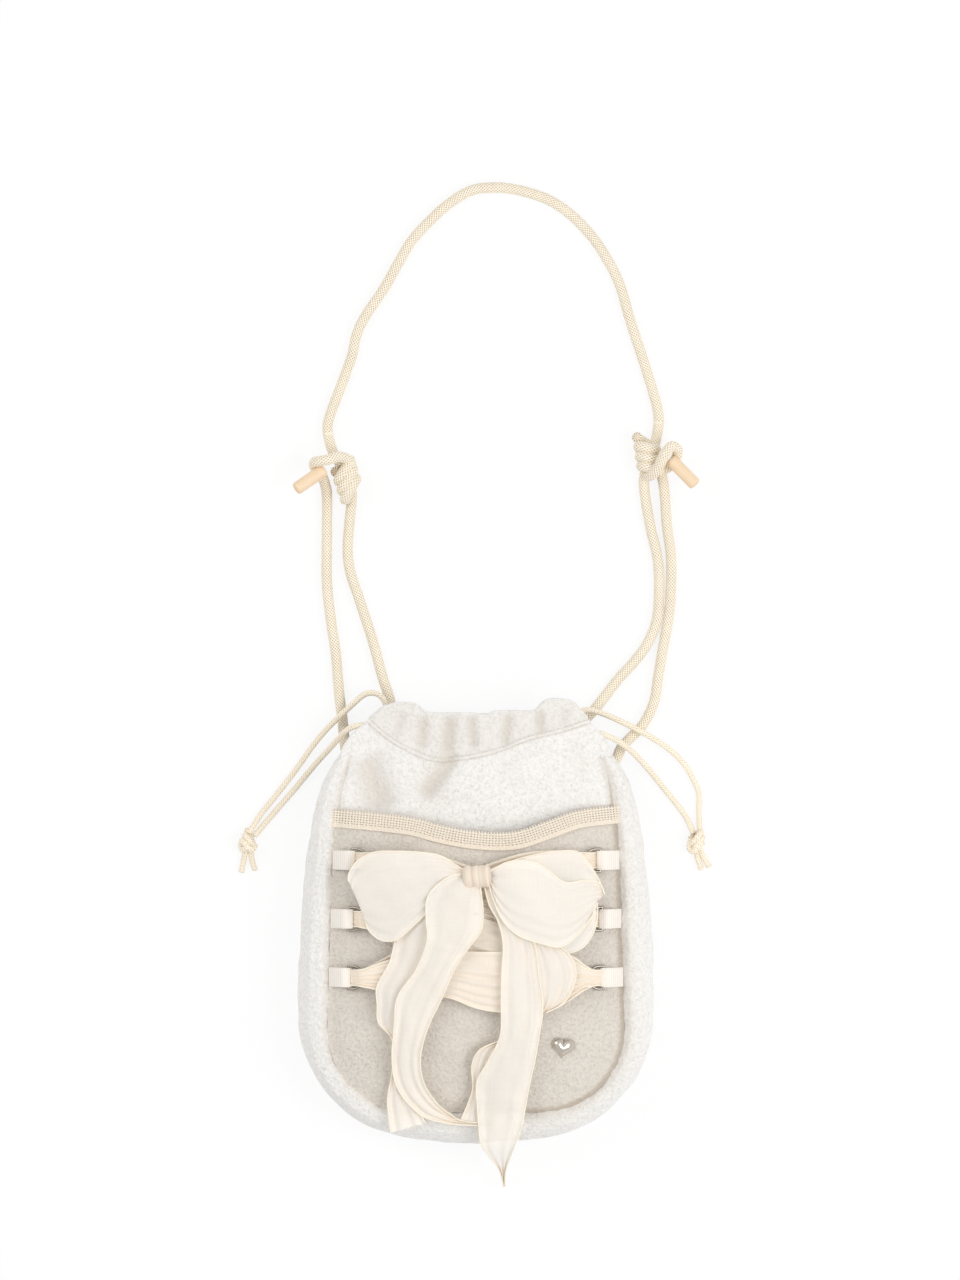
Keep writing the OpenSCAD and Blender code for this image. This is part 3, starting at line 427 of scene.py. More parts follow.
tie_bits = {
    "left": (barrel_of_turns((-113.8, 39.6, 4.9), -28, -0.55, 2, 2.9, 2.9),
             [(-117.6, 38.6, 4), (-116.8, 35.4, 5.4), (-114.2, 36.4, 7.4), (-111.6, 35.4, 6.6),
              (-110.2, 37.8, 4.4)],
             laid([(-114, 39, 4.6), (-115.2, 34.5, 3.6), (-116, 30.5, 2.2), (-116.7, 27), (-117.2, 24)],
                  cord_lie),
             laid([(-112.8, 39, 4.6), (-112.5, 34.5, 3.6), (-112, 30.5, 2.2), (-111.2, 27.5), (-110.4, 25)],
                  cord_lie)),
    "right": (barrel_of_turns((110.4, 40.6, 4.9), 14, 0.6, 2, 2.9, 3.0),
              [(107.6, 41, 4.4), (106.6, 36.6, 4.6), (108.2, 34.4, 6.2), (111, 37, 7.4), (113.4, 38.8, 5.4)],
              laid([(111, 39, 4.6), (112, 35, 3.6), (113.7, 31.5, 2.4), (115.2, 29, 1.9), (116.6, 26.6)],
                   cord_lie),
              laid([(109.6, 39, 4.6), (110, 35, 3.4), (110.8, 31, 2.2), (111.8, 28), (112.6, 25.2)],
                   cord_lie))}
tie_knots = {}
for side, bits in tie_bits.items():
    tie_knots[side] = piece("drawstring_%s_tie" % side, braided(bits, **cord_make), cord_cotton)
    fixed(tie_knots[side], side + "_drawstring", "cord", "drawstring_%s_knot" % side)
for name, route in drawstrings.items():
    side = name.split("_")[0]
    string = piece("drawstring_%s_cord" % name, braided([route], **cord_make), cord_cotton)
    fixed(string, side + "_drawstring", "cord", "drawstring_" + name)
    path = curve_through(route, 3) * 0.001


# Front of the bag: one panel of thick boiled wool whose top edge folds over into a casing with two close
# rows of stitching. The drawstrings gather it into soft valleys, and its sides are sewn to the gusset.
def wool(name, light, fleck_and_pebble_shade, fold_shade):
    """Boiled wool: flecks, fine hairs, painted shade between pebbles and a warmer painted shade where its
    skin is low.
    """
    material, shader, place = finish(name, Roughness=0.95, Sheen_Weight=0.3, Sheen_Roughness=0.6)
    pebble, hair = place.noise(560, 3, Roughness=0.6), place.noise(2300, 2, Roughness=0.6)
    spot, cloud = place.noise(820, 1), place.noise(24, 2)
    dark = ((spot - 0.6) * 5 + (cloud - 0.5) * 1.5).held(0.0, 0.5)
    # The hollows between pebbles get the fleck colour as painted shade; the sparse dark spots are real
    # flecks.
    share = ((pebble - 0.5) * 2.2 + (hair - 0.5) * 0.6 + 0.8 - dark).held(0.0, 1.0)
    # Painted shade: where the skin value is below 1, in folds and at seams, the wool turns towards its darker
    # fold colour.
    place.attribute("skin").mix(fold_shade, share.mix(fleck_and_pebble_shade, light)).into(shader, "Base Color")
    (pebble * 0.8 + hair * 0.2).bump(1.0, 0.0014).into(shader, "Normal")
    return material


bag_wool = wool("bag_wool", colour(254, 251, 247), colour(231, 228, 223), colour(212, 202, 187))
half_panel, corner_r, bottom_y, shoulder_y = 72.5, 40.0, -93.0, 84.0
corner_y = bottom_y + corner_r
bag_depth, front_crown, crown_run, sewn_dip = 34.0, 6.0, 191.0, 1.4


def smooth(t):
    """An even step from 0 to 1."""
    t = np.clip(t, 0, 1)
    return t * t * (3 - 2 * t)


def fade(away, width):
    """1 at a line and on its near side, falling off over a width on its far side."""
    return np.exp(-(np.maximum(away, 0) / width) ** 2)


def points_at(x, y, z):
    """Points from their coordinates, any of which may be one number for all."""
    return np.stack(np.broadcast_arrays(x, y, z), axis=-1)


def half_w(y):
    """Half the width between the side seams."""
    share = np.clip((y - corner_y) / (shoulder_y - corner_y), 0, 1)
    drop = np.minimum(y - corner_y, 0)
    corner = half_panel - corner_r + np.sqrt(np.clip(corner_r ** 2 - drop ** 2, 0, None))
    side = half_panel - 4 * share - 7 * share ** 8 - 0.3 * np.maximum(y - shoulder_y, 0)
    return np.where(y < corner_y, corner, side)


def seam_room(x, y):
    """How far a place on the front is from the nearest seam."""
    low = np.hypot(np.maximum(np.abs(x) - half_panel + corner_r, 0), np.maximum(corner_y - y, 0))
    return np.where(y < corner_y, corner_r - low, half_w(y) - np.abs(x))


def front_seam_z(y):
    """Height of the front seam above the table."""
    return bag_depth - 6.25 * smooth((y - 40) / 44)


def back_seam_z(y):
    """Height of the back seam, which lifts towards the neck."""
    return 9 * smooth((y - 45) / 28)


def crown(x, y):
    """Share of the full crown across the bag."""
    return 1 - np.minimum(1, np.abs(x) / half_w(y)) ** 2


def front_z(x, y):
    """Height of the front panel."""
    along = np.sqrt(np.sin(np.pi * np.clip((y - bottom_y) / crown_run, 0, 1)))
    return front_seam_z(y) + front_crown * crown(x, y) * along


def lumps(x, y, size):
    """Soft unevenness of sewn cloth, between about -1 and 1."""
    a, b = x / size, y / size
    waves = (1.7 * a + 0.9 * b + 1.3, 2.3 * b - 1.1 * a + 0.4, 3.1 * a + 2.7 * b)
    return sum(np.sin(wave) for wave in waves) / 3


def crease(x, y, start, end, width):
    """Share of a crease's depth at a place, full along the middle of a line and fading to its ends."""
    start, end = np.array(start, float), np.array(end, float)
    run = end - start
    t = ((x - start[0]) * run[0] + (y - start[1]) * run[1]) / run.dot(run)
    away = np.hypot(x - start[0] - np.clip(t, 0, 1) * run[0], y - start[1] - np.clip(t, 0, 1) * run[1])
    return fade(away, width) * smooth(t * 4) * smooth((1 - t) * 4)


def cloth_grid(points, depth, centre):
    """A sheet from rows of points, its face turned away from a centre."""
    rows, cols = points.shape[:2]
    at = np.arange(rows * cols).reshape(rows, cols)
    quads = np.stack([at[:-1, :-1], at[:-1, 1:], at[1:, 1:], at[1:, :-1]], axis=-1).reshape(-1, 4)
    p = points.reshape(-1, 3)
    face = np.cross(p[quads[:, 2]] - p[quads[:, 0]], p[quads[:, 3]] - p[quads[:, 1]])
    if np.sum(face * (p[quads].mean(axis=1) - np.array(centre))) < 0:
        quads = quads[:, ::-1]
    return p, quads.tolist(), np.broadcast_to(depth, (rows, cols)).ravel()


def through(knots, steps):
    """Rows of points on smooth curves through rows of knots, with a count of steps for each span."""
    q = [2 * knots[0] - knots[1]] + list(knots) + [2 * knots[-1] - knots[-2]]
    rows = []
    for a, b, c, d, n in zip(q[:-3], q[1:-2], q[2:-1], q[3:], steps):
        rows += [between(a, b, c, d, t) for t in np.arange(n) / n]
    return np.array(rows + [knots[-1]])


def along_line(points, share):
    """Places at shares from 0 to 1 of a smooth line's length."""
    line = curve_through([(*p, 0.0) if len(p) == 2 else p for p in points], 0.4)
    far = np.linspace(0, 1, len(line))
    return np.stack([np.interp(share, far, line[:, k]) for k in range(len(points[0]))], axis=-1)


pocket_edge = [
    (-71, 55.5), (-52, 54), (-31.5, 51.6), (-17.5, 48), (-4, 45.4), (11, 44.2), (22, 45.4), (35.5, 50),
    (50.5, 55), (71, 57.5)]
edge_xy = along_line(pocket_edge, np.linspace(0, 1, 300))
rim_line = [
    (-53, 101), (-46, 106.2), (-38.5, 108.2), (-30.5, 107.6), (-23.5, 103.4), (-13, 103), (-2, 103),
    (5, 102), (9, 103.8), (19, 104.2), (28.5, 104.4), (33.5, 109), (40.5, 110.2), (48, 108.6),
    (51.5, 105.4), (55.5, 101)]
channel_line = [
    (-54, 100.4), (-43.5, 91.5), (-33.5, 85.5), (-25.5, 82), (-17.5, 80.2), (-10, 81), (2, 83), (13, 86),
    (24, 90.5), (35.5, 93.5), (45.5, 96), (56.5, 100)]
# Each valley: its two ends, its width and depth in millimetres, and how much painted shade darkens it.
valleys = [
    ((-27, 84), (-26, 104), 2.8, 2.0, 0.4), ((-14.5, 81), (-12.5, 104), 3.2, 2.4, 0.5),
    ((-1, 84), (-2.5, 104), 2.4, 1.9, 0.4), ((14, 86), (16, 105), 2.6, 2.0, 0.4),
    ((32, 92), (31, 106), 2.4, 1.9, 0.4), ((-40, 90), (-36, 106), 2.2, 1.0, 0.25),
    ((43, 96), (45, 107), 2.2, 0.9, 0.2), ((-9, 85), (-29, 59), 3.8, 4.4, 0.5),
    ((-57, 84), (-44, 52), 8.0, 4.4, 0.5), ((-30, 80), (-14, 54), 7.0, 1.8, 0.12),
    ((22, 88), (12, 68), 5.0, 0.9, 0.1), ((47, 92), (54, 70), 4.0, 0.9, 0.15)]
u = np.linspace(-1, 1, 181)
low_y = np.concatenate([np.linspace(bottom_y + 1, 34, 12), np.linspace(38, 62, 36)])[:, None]
low_x = u * half_w(low_y)
low = points_at(low_x, low_y, front_z(low_x, low_y))
neck_low_y, neck_rise, neck_half = 72.0, 14.0, 66.5
channel_z, channel_fall, rim_z, rim_fall = 31.6, 2.4, 31.2, 4.6
neck_y = neck_low_y + neck_rise * u ** 2
neck = points_at(u * neck_half, neck_y, front_z(u * 64, neck_y) + 0.4)
channel_up = channel_z - channel_fall * u[:, None] ** 4
channel = np.concatenate([along_line(channel_line, (u + 1) / 2), channel_up], axis=1)
rim = np.concatenate([along_line(rim_line, (u + 1) / 2), rim_z - rim_fall * u[:, None] ** 6], axis=1)
spans = [18, 26, 26]
upper = through([low[-1], neck, channel, rim], spans)[1:]
channel_row = len(low) + spans[0] + spans[1] - 1
fold_turns = np.linspace(0.12, 1, 8) * np.pi
roll = [rim + (0, 1.1 * np.sin(t), -2.7 * (1 - np.cos(t))) for t in fold_turns]
inner = [roll[-1] - (0, d, 0) for d in (2.5, 6, 10, 14, 18)]
front = np.concatenate([low, upper, roll, inner])
x, y = front[..., 0], front[..., 1]
outer = np.arange(len(front)) < len(low) + len(upper)
depth = np.ones_like(x)
row_step = np.linalg.norm(front[channel_row + 1] - front[channel_row - 1], axis=-1) / 2
to_channel = np.abs(np.arange(len(front)) - channel_row)[:, None] * row_step
# Each crease sinks the cloth and darkens it with painted shade.
for start, end, width, sink, crease_shade in valleys:
    share = crease(x, y, start, end, width)
    front[..., 2] -= np.where(outer[:, None], sink, sink * 0.5) * share
    depth -= crease_shade * share
# Painted shadow: a dark band on the front just above the tape's top edge.
above_pocket = y - np.interp(x, edge_xy[:, 0], edge_xy[:, 1])
depth -= 0.55 * fade(above_pocket, 1.5) * (y < 70)
# The casing band above the stitching is tinted a little darker.
depth -= 0.2 * (np.arange(len(front)) > channel_row + 2)[:, None] * outer[:, None]
groove = fade(np.abs(to_channel - 1.0), 0.45)
front[..., 2] += np.where(outer[:, None], 0.55 * fade(to_channel, 1.6) - 0.5 * groove, 0)
# Painted shade in the grooves beside the stitching.
depth -= np.where(outer[:, None], 0.35 * groove, 0)
front[..., 2] += 0.55 * lumps(x, y, 13) * smooth((1 - np.abs(u)) * 8)
seam_near = fade(seam_room(x, y), 2.2) * (y < shoulder_y - 2)
front[..., 2] -= sewn_dip * seam_near
# Painted shade along the side seams, stronger towards the right.
depth -= (0.05 + 0.45 * smooth((x + 30) / 70)) * seam_near
turned_in = smooth((99 - front[:, :1, 1:2]) / 6) * outer[:, None, None]
turns = ((1.4, 0, -3.4), (0.1, 0, -2.4), (-0.25, 0, -1.1))
hem = [front[:, :1] + turned_in * d for d in turns]
other_hem = [front[:, -1:] + turned_in * (-x, y, z) for x, y, z in turns[::-1]]
hem_n = len(hem)
front = np.concatenate(hem + [front] + other_hem, axis=1)
depth = np.concatenate([depth[:, :1]] * hem_n + [depth] + [depth[:, -1:]] * hem_n, axis=1)
depth = np.clip(depth, 0, 1)
front_cloth = fixed(piece("front_wool", cloth_grid(front, depth, (0, 0, -200)), bag_wool), "pouch", "wool",
                    "front_panel", "front_casing")


# Gusset: one long strip of the same wool round both sides and the bottom. Sewn right sides together and
# turned, it swells into a soft roll that stands a little above the sunken front seam.
gusset_bulge, gusset_end_y = 17.0, 91.5
corner_run, corner_x = 62.8, half_panel - corner_r
bulge_at = [
    (-145, 1.6), (-139, 4.8), (-131, 7.9), (-118, 11), (-85, 14.6), (-55, 16.4), (-25, 17), (0, 15.9),
    (14, 14.2), (31, 13), (50, 13.6), (63, 15.2), (76, 16.8), (95.4, 18)]
bulge_line = along_line(bulge_at, np.linspace(0, 1, 400))
corner_a = np.radians(np.linspace(0, 90, 46))[1:]
half_seam = [(half_w(h), h, 1.0, 0.0, corner_y - h) for h in np.linspace(gusset_end_y, corner_y, 104)]
half_seam += [(corner_x + corner_r * np.cos(a), corner_y - corner_r * np.sin(a), np.cos(a), -np.sin(a),
               corner_r * a) for a in corner_a]
half_seam += [(h, bottom_y, 0.0, -1.0, corner_run + corner_x - h) for h in np.linspace(corner_x, 0, 30)[1:]]
seam = np.array(half_seam)
seam[:, 4] = np.interp(seam[:, 4], bulge_line[:, 0], bulge_line[:, 1])
seam = np.concatenate([seam, (seam * (-1, 1, -1, 1, 1))[-2::-1]])
roll_shape = [
    (-0.06, 0.03), (0.35, 0), (0.75, 0.1), (0.97, 0.32), (1, 0.52), (0.93, 0.75), (0.72, 0.97),
    (0.45, 1.09), (0.22, 1.07), (0.09, 1.035), (0.01, 1.0), (-0.06, 0.955)]
out, high = along_line(roll_shape, np.linspace(0, 1, 44)).T
sx, sy, nx, ny, bulge = (seam[:, k, None] for k in range(5))
run = distance_along(seam[:, :2])[:, None]
swell = 1 + 0.035 * lumps(run, 40 * high, 14) * out + 0.02 * lumps(run + 50, 30 * high, 5) * out
reach = bulge * out * swell + (0.5 * lumps(run, 0 * run, 1.7) - 0.3) * smooth((high - 0.9) * 8)
floor_z, top_z = back_seam_z(sy), front_seam_z(sy)
height = floor_z + (top_z - floor_z) * (1 + (high - 1) * np.where(high > 1, bulge / gusset_bulge, 1))
height = height + 0.5 * lumps(run, 10 * out, 9) * smooth((high - 0.7) * 4)
gusset = points_at(sx + nx * reach, sy + ny * reach, np.maximum(height, 0))
# Painted shade on the roll: a dark line along the seam and a darker band on its inner slope, both stronger on
# the right.
sun_side = smooth((sx + 20) / 70)
shade = 1 - (0.15 + 0.4 * sun_side) * fade(np.abs(out + 0.01), 0.06) * (high > 0.5)
shade = shade - 0.4 * (1 - smooth(out / (0.4 + 0.45 * sun_side))) * (high > 0.5)
gusset_grid = cloth_grid(gusset, np.clip(shade, 0, 1), (0, 0, bag_depth / 2))
gusset_cloth = fixed(piece("gusset_wool", gusset_grid, bag_wool), "pouch", "wool",
                     "gusset_upper", "gusset_lower")


# Back of the bag: a plain panel of the same wool that lies on the table. Its neck lifts over the strap's
# rope, and its top edge folds over into the rear casing.
rear_half, rear_rim_y = 36.0, 103.5
rear_neck_half, rear_neck_y, rear_neck_z = 52.0, 91.0, 9.4
v = np.linspace(-1, 1, 121)
back_y = np.concatenate([np.linspace(bottom_y, 40, 60), np.linspace(43, shoulder_y, 24)])[:, None]
back_x = v * half_w(back_y)
back_z = back_seam_z(back_y) + 0.25 * (1 + lumps(back_x, back_y, 11))
back_z = back_z + 1.3 * fade(seam_room(back_x, back_y), 2.5)
back = points_at(back_x, back_y, back_z)
back_neck = points_at(v * rear_neck_half, rear_neck_y, rear_neck_z)
back_rim_z = rear_neck_z + 0.5 * np.cos(9 * v)
back_rim = points_at(v * (rear_half + 4), rear_rim_y - 1 - 3 * v ** 4, back_rim_z)
back_top = through([back[-1], back_neck, back_rim], [8, 14])[1:]
back_roll = [back_rim + (0, np.sin(t), 2.9 * (1 - np.cos(t))) for t in fold_turns]
back_inner = [back_roll[-1] - (0, d, 0) for d in (2.5, 6, 10, 14)]
back = np.concatenate([back, back_top, back_roll, back_inner])
back_cloth = fixed(piece("back_wool", cloth_grid(back, 1.0, (0, 0, 300)), bag_wool), "pouch", "wool",
                   "back_panel", "rear_casing")


# Pocket: a patch of the same wool, as wide as the front, sewn into the side and bottom seams and left a
# little full. It lies lower than the gusset's roll, and its colours are painted darker as shade.
pocket_wool_painted_shade = wool("pocket_wool_painted_shade", colour(232, 224, 213), colour(208, 200, 190), colour(186, 173, 156))
pocket_room, pocket_t, pocket_dip, tuck = 7.5, 1.6, 1.3, 1.2


def pocket_z(x, y):
    """Height of the pocket's face."""
    room = pocket_room * crown(x, y) * smooth((y - bottom_y) / 45)
    return front_z(x, y) + 0.15 + room + pocket_t


u = np.linspace(-1, 1, 171)
rows = []
for share in np.concatenate([np.linspace(0, 0.1, 14)[:-1], np.linspace(0.1, 1, 130)]):
    y = bottom_y - tuck + (np.interp(u * 70, edge_xy[:, 0], edge_xy[:, 1]) - 1 + tuck - bottom_y) * share
    corner = np.sqrt(np.clip((corner_r + tuck) ** 2 - np.minimum(y - corner_y, 0) ** 2, 0, None))
    x = u * np.where(y < corner_y, half_panel - corner_r + corner, half_w(y) + tuck)
    rows.append(np.stack([x, y], axis=-1))
rows = np.array(rows)
x, y = rows[..., 0], rows[..., 1]
near = fade(seam_room(x, y), 4.0)
seam_line = fade(seam_room(x, y) + 0.5 * lumps(x, y, 1.1), 1.2)
z = pocket_z(np.clip(x, -72, 72), y) - pocket_dip * near + 0.6 * lumps(x, y, 12) * (1 - near)
# Painted shade: a dark, jagged line along the seam, stronger towards the right.
pocket_depth = 1 - (0.05 + 0.8 * smooth((x + 30) / 70)) * seam_line
pocket_grid = cloth_grid(points_at(x, y, z), pocket_depth, (0, 0, -200))
pocket_cloth = fixed(piece("pocket_wool_painted_shade", pocket_grid, pocket_wool_painted_shade), "pouch", "wool", "pocket_panel")


# Tape: an open-weave cotton tape folded over the pocket's top edge, of separate threads that pass over and
# under each other. They lie closer in its lower part, where a row of stitches holds it down.
tape_cotton = cotton("tape_cotton", colour(245, 234, 218), colour(206, 193, 172), 3000)
thread_pitch, warp_r, weft_r, weave_h, tape_lift = 1.5, 0.46, 0.48, 0.24, 0.85
warp_at = [0.5, 1.7, 2.9, 4.1, 5.3, 6.3, 7.1, 7.8]


def thread(route, radius):
    """A bit of plain thread along a route, with six sides."""
    return tube(np.array(route), radius, 6, lambda turn, along: (np.ones_like(turn), 0.0))


tape_line = curve_through([(*p, 0.0) for p in pocket_edge], thread_pitch / 2)[:, :2]
tape_way = unit(np.gradient(tape_line, axis=0))
tape_down = np.stack([tape_way[:, 1], -tape_way[:, 0]], axis=1)


def on_tape(k, below, lift):
    """A place on the tape: so far along it, below its top edge and above the pocket."""
    p = tape_line[k] + tape_down[k] * below
    near_seam = fade(half_w(p[1]) - abs(p[0]), 4.0)
    top = pocket_z(p[0], min(p[1], tape_line[k][1] - 1)) + 0.6 * lumps(p[0], p[1], 12) * (1 - near_seam)
    return (*p, float(top - pocket_dip * near_seam + tape_lift + lift))


threads = []
for j, below in enumerate(warp_at):
    heights = weave_h * np.cos(np.pi * (np.arange(len(tape_line)) / 2 + j))
    threads.append(thread([on_tape(k, below, up) for k, up in enumerate(heights)], warp_r))
for k in range(0, len(tape_line), 2):
    weft = [on_tape(k, 3.0, -2.6), on_tape(k, 0.6, -2.5), on_tape(k, -0.5, -1.5), on_tape(k, -0.5, -0.5)]
    for j, below in enumerate(warp_at):
        weft.append(on_tape(k, below, -weave_h * np.cos(np.pi * (k / 2 + j))))
    threads.append(thread(weft + [on_tape(k, 8.2, -0.1)], weft_r))
fixed(piece("pocket_tape_weave", joined(*threads), tape_cotton), "pouch", "tape", "pocket_tape")


# Sewing: small lockstitches of cotton thread, two rows along the front casing and one along the tape. One
# tree of nodes sets a stitch at every step along a line.
sewing = bpy.data.node_groups.new("stitches_along_a_line", "GeometryNodeTree")
for label, kind in (("Line", "Geometry"), ("Spacing", "Float"), ("Stitch Length", "Float"),
                    ("Thickness", "Float"), ("Seed", "Int"), ("Thread", "Material")):
    sewing.interface.new_socket(label, in_out="INPUT", socket_type="NodeSocket" + kind)
sewing.interface.new_socket("Stitches", in_out="OUTPUT", socket_type="NodeSocketGeometry")
step = {label: sewing.nodes.new(kind) for label, kind in (
    ("asked", "NodeGroupInput"), ("curve", "GeometryNodeMeshToCurve"), ("spots", "GeometryNodeCurveToPoints"),
    ("bead", "GeometryNodeMeshUVSphere"), ("size", "ShaderNodeCombineXYZ"),
    ("vary", "FunctionNodeRandomValue"), ("scaled", "ShaderNodeVectorMath"),
    ("placed", "GeometryNodeInstanceOnPoints"), ("real", "GeometryNodeRealizeInstances"),
    ("dyed", "GeometryNodeSetMaterial"), ("given", "NodeGroupOutput"))}
step["spots"].mode, step["vary"].data_type, step["scaled"].operation = "LENGTH", "FLOAT_VECTOR", "MULTIPLY"
for label, key, value in (("bead", "Segments", 8), ("bead", "Rings", 5), ("bead", "Radius", 0.5),
                          ("vary", 0, (0.85, 0.85, 0.8)), ("vary", 1, (1.1, 1.1, 1.1))):
    step[label].inputs[key].default_value = value
for source, out, target, into in (
        ("asked", "Line", "curve", "Mesh"), ("curve", 0, "spots", 0), ("asked", "Spacing", "spots", "Length"),
        ("asked", "Thickness", "size", "X"), ("asked", "Thickness", "size", "Y"),
        ("asked", "Stitch Length", "size", "Z"), ("asked", "Seed", "vary", "Seed"), ("size", 0, "scaled", 0),
        ("vary", 0, "scaled", 1), ("spots", "Points", "placed", "Points"),
        ("bead", "Mesh", "placed", "Instance"), ("spots", "Rotation", "placed", "Rotation"),
        ("scaled", 0, "placed", "Scale"), ("placed", 0, "real", 0), ("real", 0, "dyed", "Geometry"),
        ("asked", "Thread", "dyed", "Material"), ("dyed", 0, "given", "Stitches")):
    sewing.links.new(step[source].outputs[out], step[target].inputs[into])


def stitched(name, line, spacing, length, thickness, thread_finish):
    """A row of stitches along a line in millimetres."""
    line = np.array(line)
    mesh = bpy.data.meshes.new(name)
    mesh.from_pydata((line * 0.001).tolist(), [(k, k + 1) for k in range(len(line) - 1)], [])
    made = bpy.data.objects.new(name, mesh)
    scene.collection.objects.link(made)
    modifier = made.modifiers.new("stitches", "NODES")
    modifier.node_group = sewing
    wanted = {"Spacing": spacing * 0.001, "Stitch Length": length * 0.001, "Thickness": thickness * 0.001,
              "Seed": 7, "Thread": thread_finish}
    for socket in sewing.interface.items_tree:
        if socket.in_out == "INPUT" and socket.name in wanted:
            modifier[socket.identifier] = wanted[socket.name]
    finished = bpy.data.meshes.new_from_object(made.evaluated_get(bpy.context.evaluated_depsgraph_get()))
    made.modifiers.clear()
    made.data = finished
    return made


sewing_thread = cotton("sewing_thread", colour(248, 242, 234), colour(228, 218, 204), 3000)
step_up = unit(front[channel_row + 2, hem_n:-hem_n] - front[channel_row - 2, hem_n:-hem_n])
for name, away in (("lower", -1.0), ("upper", 1.0)):
    line = front[channel_row, hem_n:-hem_n] + step_up * away + np.array([0, 0, -0.15])
    row = stitched("casing_stitches_" + name, line[4:-4], spacing=2.2, length=1.9, thickness=0.36,
                   thread_finish=sewing_thread)
    fixed(row, "pouch", "wool")
dark_thread = cotton("shaded_thread", colour(196, 182, 160), colour(170, 154, 130), 3000)
tape_seam = [on_tape(k, 5.8, 0.3) for k in range(6, len(tape_line) - 6)]
row = stitched("tape_stitches", tape_seam, spacing=2.3, length=1.0, thickness=0.5,
               thread_finish=dark_thread)
fixed(row, "pouch", "tape")


# Tabs and rings: six short twill tapes folded round the straight bars of six nickel D-rings and sewn into
# the side seams, three a side. The bows of the rings point to the middle and carry the lacing.
twill, twill_shader, place = finish("twill_tape", Roughness=0.85, Sheen_Weight=0.2)
ribs_of_twill = place.node("TexWave", {"bands_direction": "X"},
                           {"Vector": place, "Scale": 300, "Distortion": 0.8, "Detail": 1})
twill_tone = ribs_of_twill * 0.5 + place.noise(900, 2) * 0.5
twill_tone.mix(colour(240, 231, 220), colour(255, 250, 243)).into(twill_shader, "Base Color")
ribs_of_twill.bump(0.3, 0.0003).into(twill_shader, "Normal")
nickel, nickel_shader, place = finish("nickel", Base_Color=(0.38, 0.34, 0.29, 1), Metallic=1.0)
(place.noise(60, 2) * 0.1 + 0.2).into(nickel_shader, "Roughness")
tab_reach, tab_w, tab_turn_r, tab_cloth, bar_lift, foot_sink = 8.5, 9.6, 1.45, 0.35, 2.95, 0.3
tab_sections = [
    (-1, 0.0), (-0.99, 0.7), (-0.95, 1), (-0.5, 1), (0, 1), (0.5, 1), (0.95, 1), (0.99, 0.7), (1, 0.0)]


def refinish(name, material):
    """Another finish for a solid of the CAD that keeps its shape."""
    for slot in bpy.data.objects[name].material_slots:
        slot.material = material


for side, s in (("left", -1), ("right", 1)):
    for name, y in (("top", 31.0), ("middle", 2.0), ("bottom", -27.0)):
        foot_x = float(half_w(y))
        bar_x = foot_x - tab_reach
        bar_z = float(pocket_z(bar_x, y)) + bar_lift
        foot_z = float(pocket_z(foot_x - 0.5, y)) - foot_sink
        turn = np.radians(np.linspace(100, 250, 12))
        path = [(foot_x + 1.0, foot_z - 1), (foot_x - 1.6, foot_z + 2.4), (bar_x + 3, bar_z + 1.5)]
        path += [(bar_x + tab_turn_r * np.cos(a), bar_z + tab_turn_r * np.sin(a)) for a in turn]
        path += [(bar_x + 3, bar_z - 1.7), (foot_x - 1.6, foot_z + 0.6), (foot_x + 1.0, foot_z - 1.8)]
        line = curve_through([(a, 0.0, b) for a, b in path], 0.4)[:, [0, 2]]
        way = unit(np.gradient(line, axis=0))
        square = np.stack([-way[:, 1], way[:, 0]], axis=1)
        section = np.vstack([line + square * tab_cloth, (line - square * tab_cloth)[::-1]])
        section = np.vstack([section, section[:1]])
        middle = np.vstack([line, line[::-1], line[:1]])
        strip = []
        for share, thick in tab_sections:
            at = middle + (section - middle) * thick
            strip.append(points_at(s * at[:, 0], y + share * tab_w / 2, at[:, 1]))
        tab_grid = cloth_grid(np.array(strip), 1.0, (s * bar_x * 0.9, y, bar_z))
        tab = piece("tab_%s_%s_twill" % (side, name), tab_grid, twill)
        fixed(tab, "pouch", "tape", "tab_%s_%s" % (side, name))
        refinish("d_ring_%s_%s" % (side, name), nickel)
    refinish("strap_tab_" + side, twill)


# Stud: a small puffy heart pressed from bright nickel sheet, with a dent between its lobes. It goes through
# the pocket's cloth and is held by a plain cap behind.
stud_x, stud_y, stud_w, stud_h, stud_turn = 43.0, -62.0, 11.6, 3.9, np.radians(-7)
a = np.linspace(0, 2 * np.pi, 97)
outline_y = 14 * np.cos(a) - 3.6 * np.cos(2 * a) - 1.6 * np.cos(3 * a) - 0.7 * np.cos(4 * a) + 2.4
heart = np.stack([16 * np.sin(a) ** 3, outline_y], axis=1) * stud_w / 32
r = np.sin(np.linspace(0, 90, 22) * np.pi / 180)[:, None]
x, y = r * heart[:, 0], r * heart[:, 1]
dent = 1 - 0.2 * fade(np.abs(x), 1.4) * smooth((y + 0.5) / 4)
z = stud_h * np.sqrt(np.clip(1 - r ** 2, 0, 1)) * dent
heart_x = stud_x + x * np.cos(stud_turn) - y * np.sin(stud_turn)
heart_y = stud_y + x * np.sin(stud_turn) + y * np.cos(stud_turn)
stud = points_at(heart_x, heart_y, z + pocket_z(heart_x, heart_y) + 0.2)
bright_nickel, _, _ = finish("bright_nickel", Base_Color=(0.7, 0.65, 0.58, 1), Metallic=1.0, Roughness=0.28)
stud_grid = cloth_grid(stud, 1.0, (stud_x, stud_y, 30))
fixed(piece("heart_stud_shell", stud_grid, bright_nickel), "pouch", "nickel", "heart_stud")
refinish("heart_stud_cap", nickel)


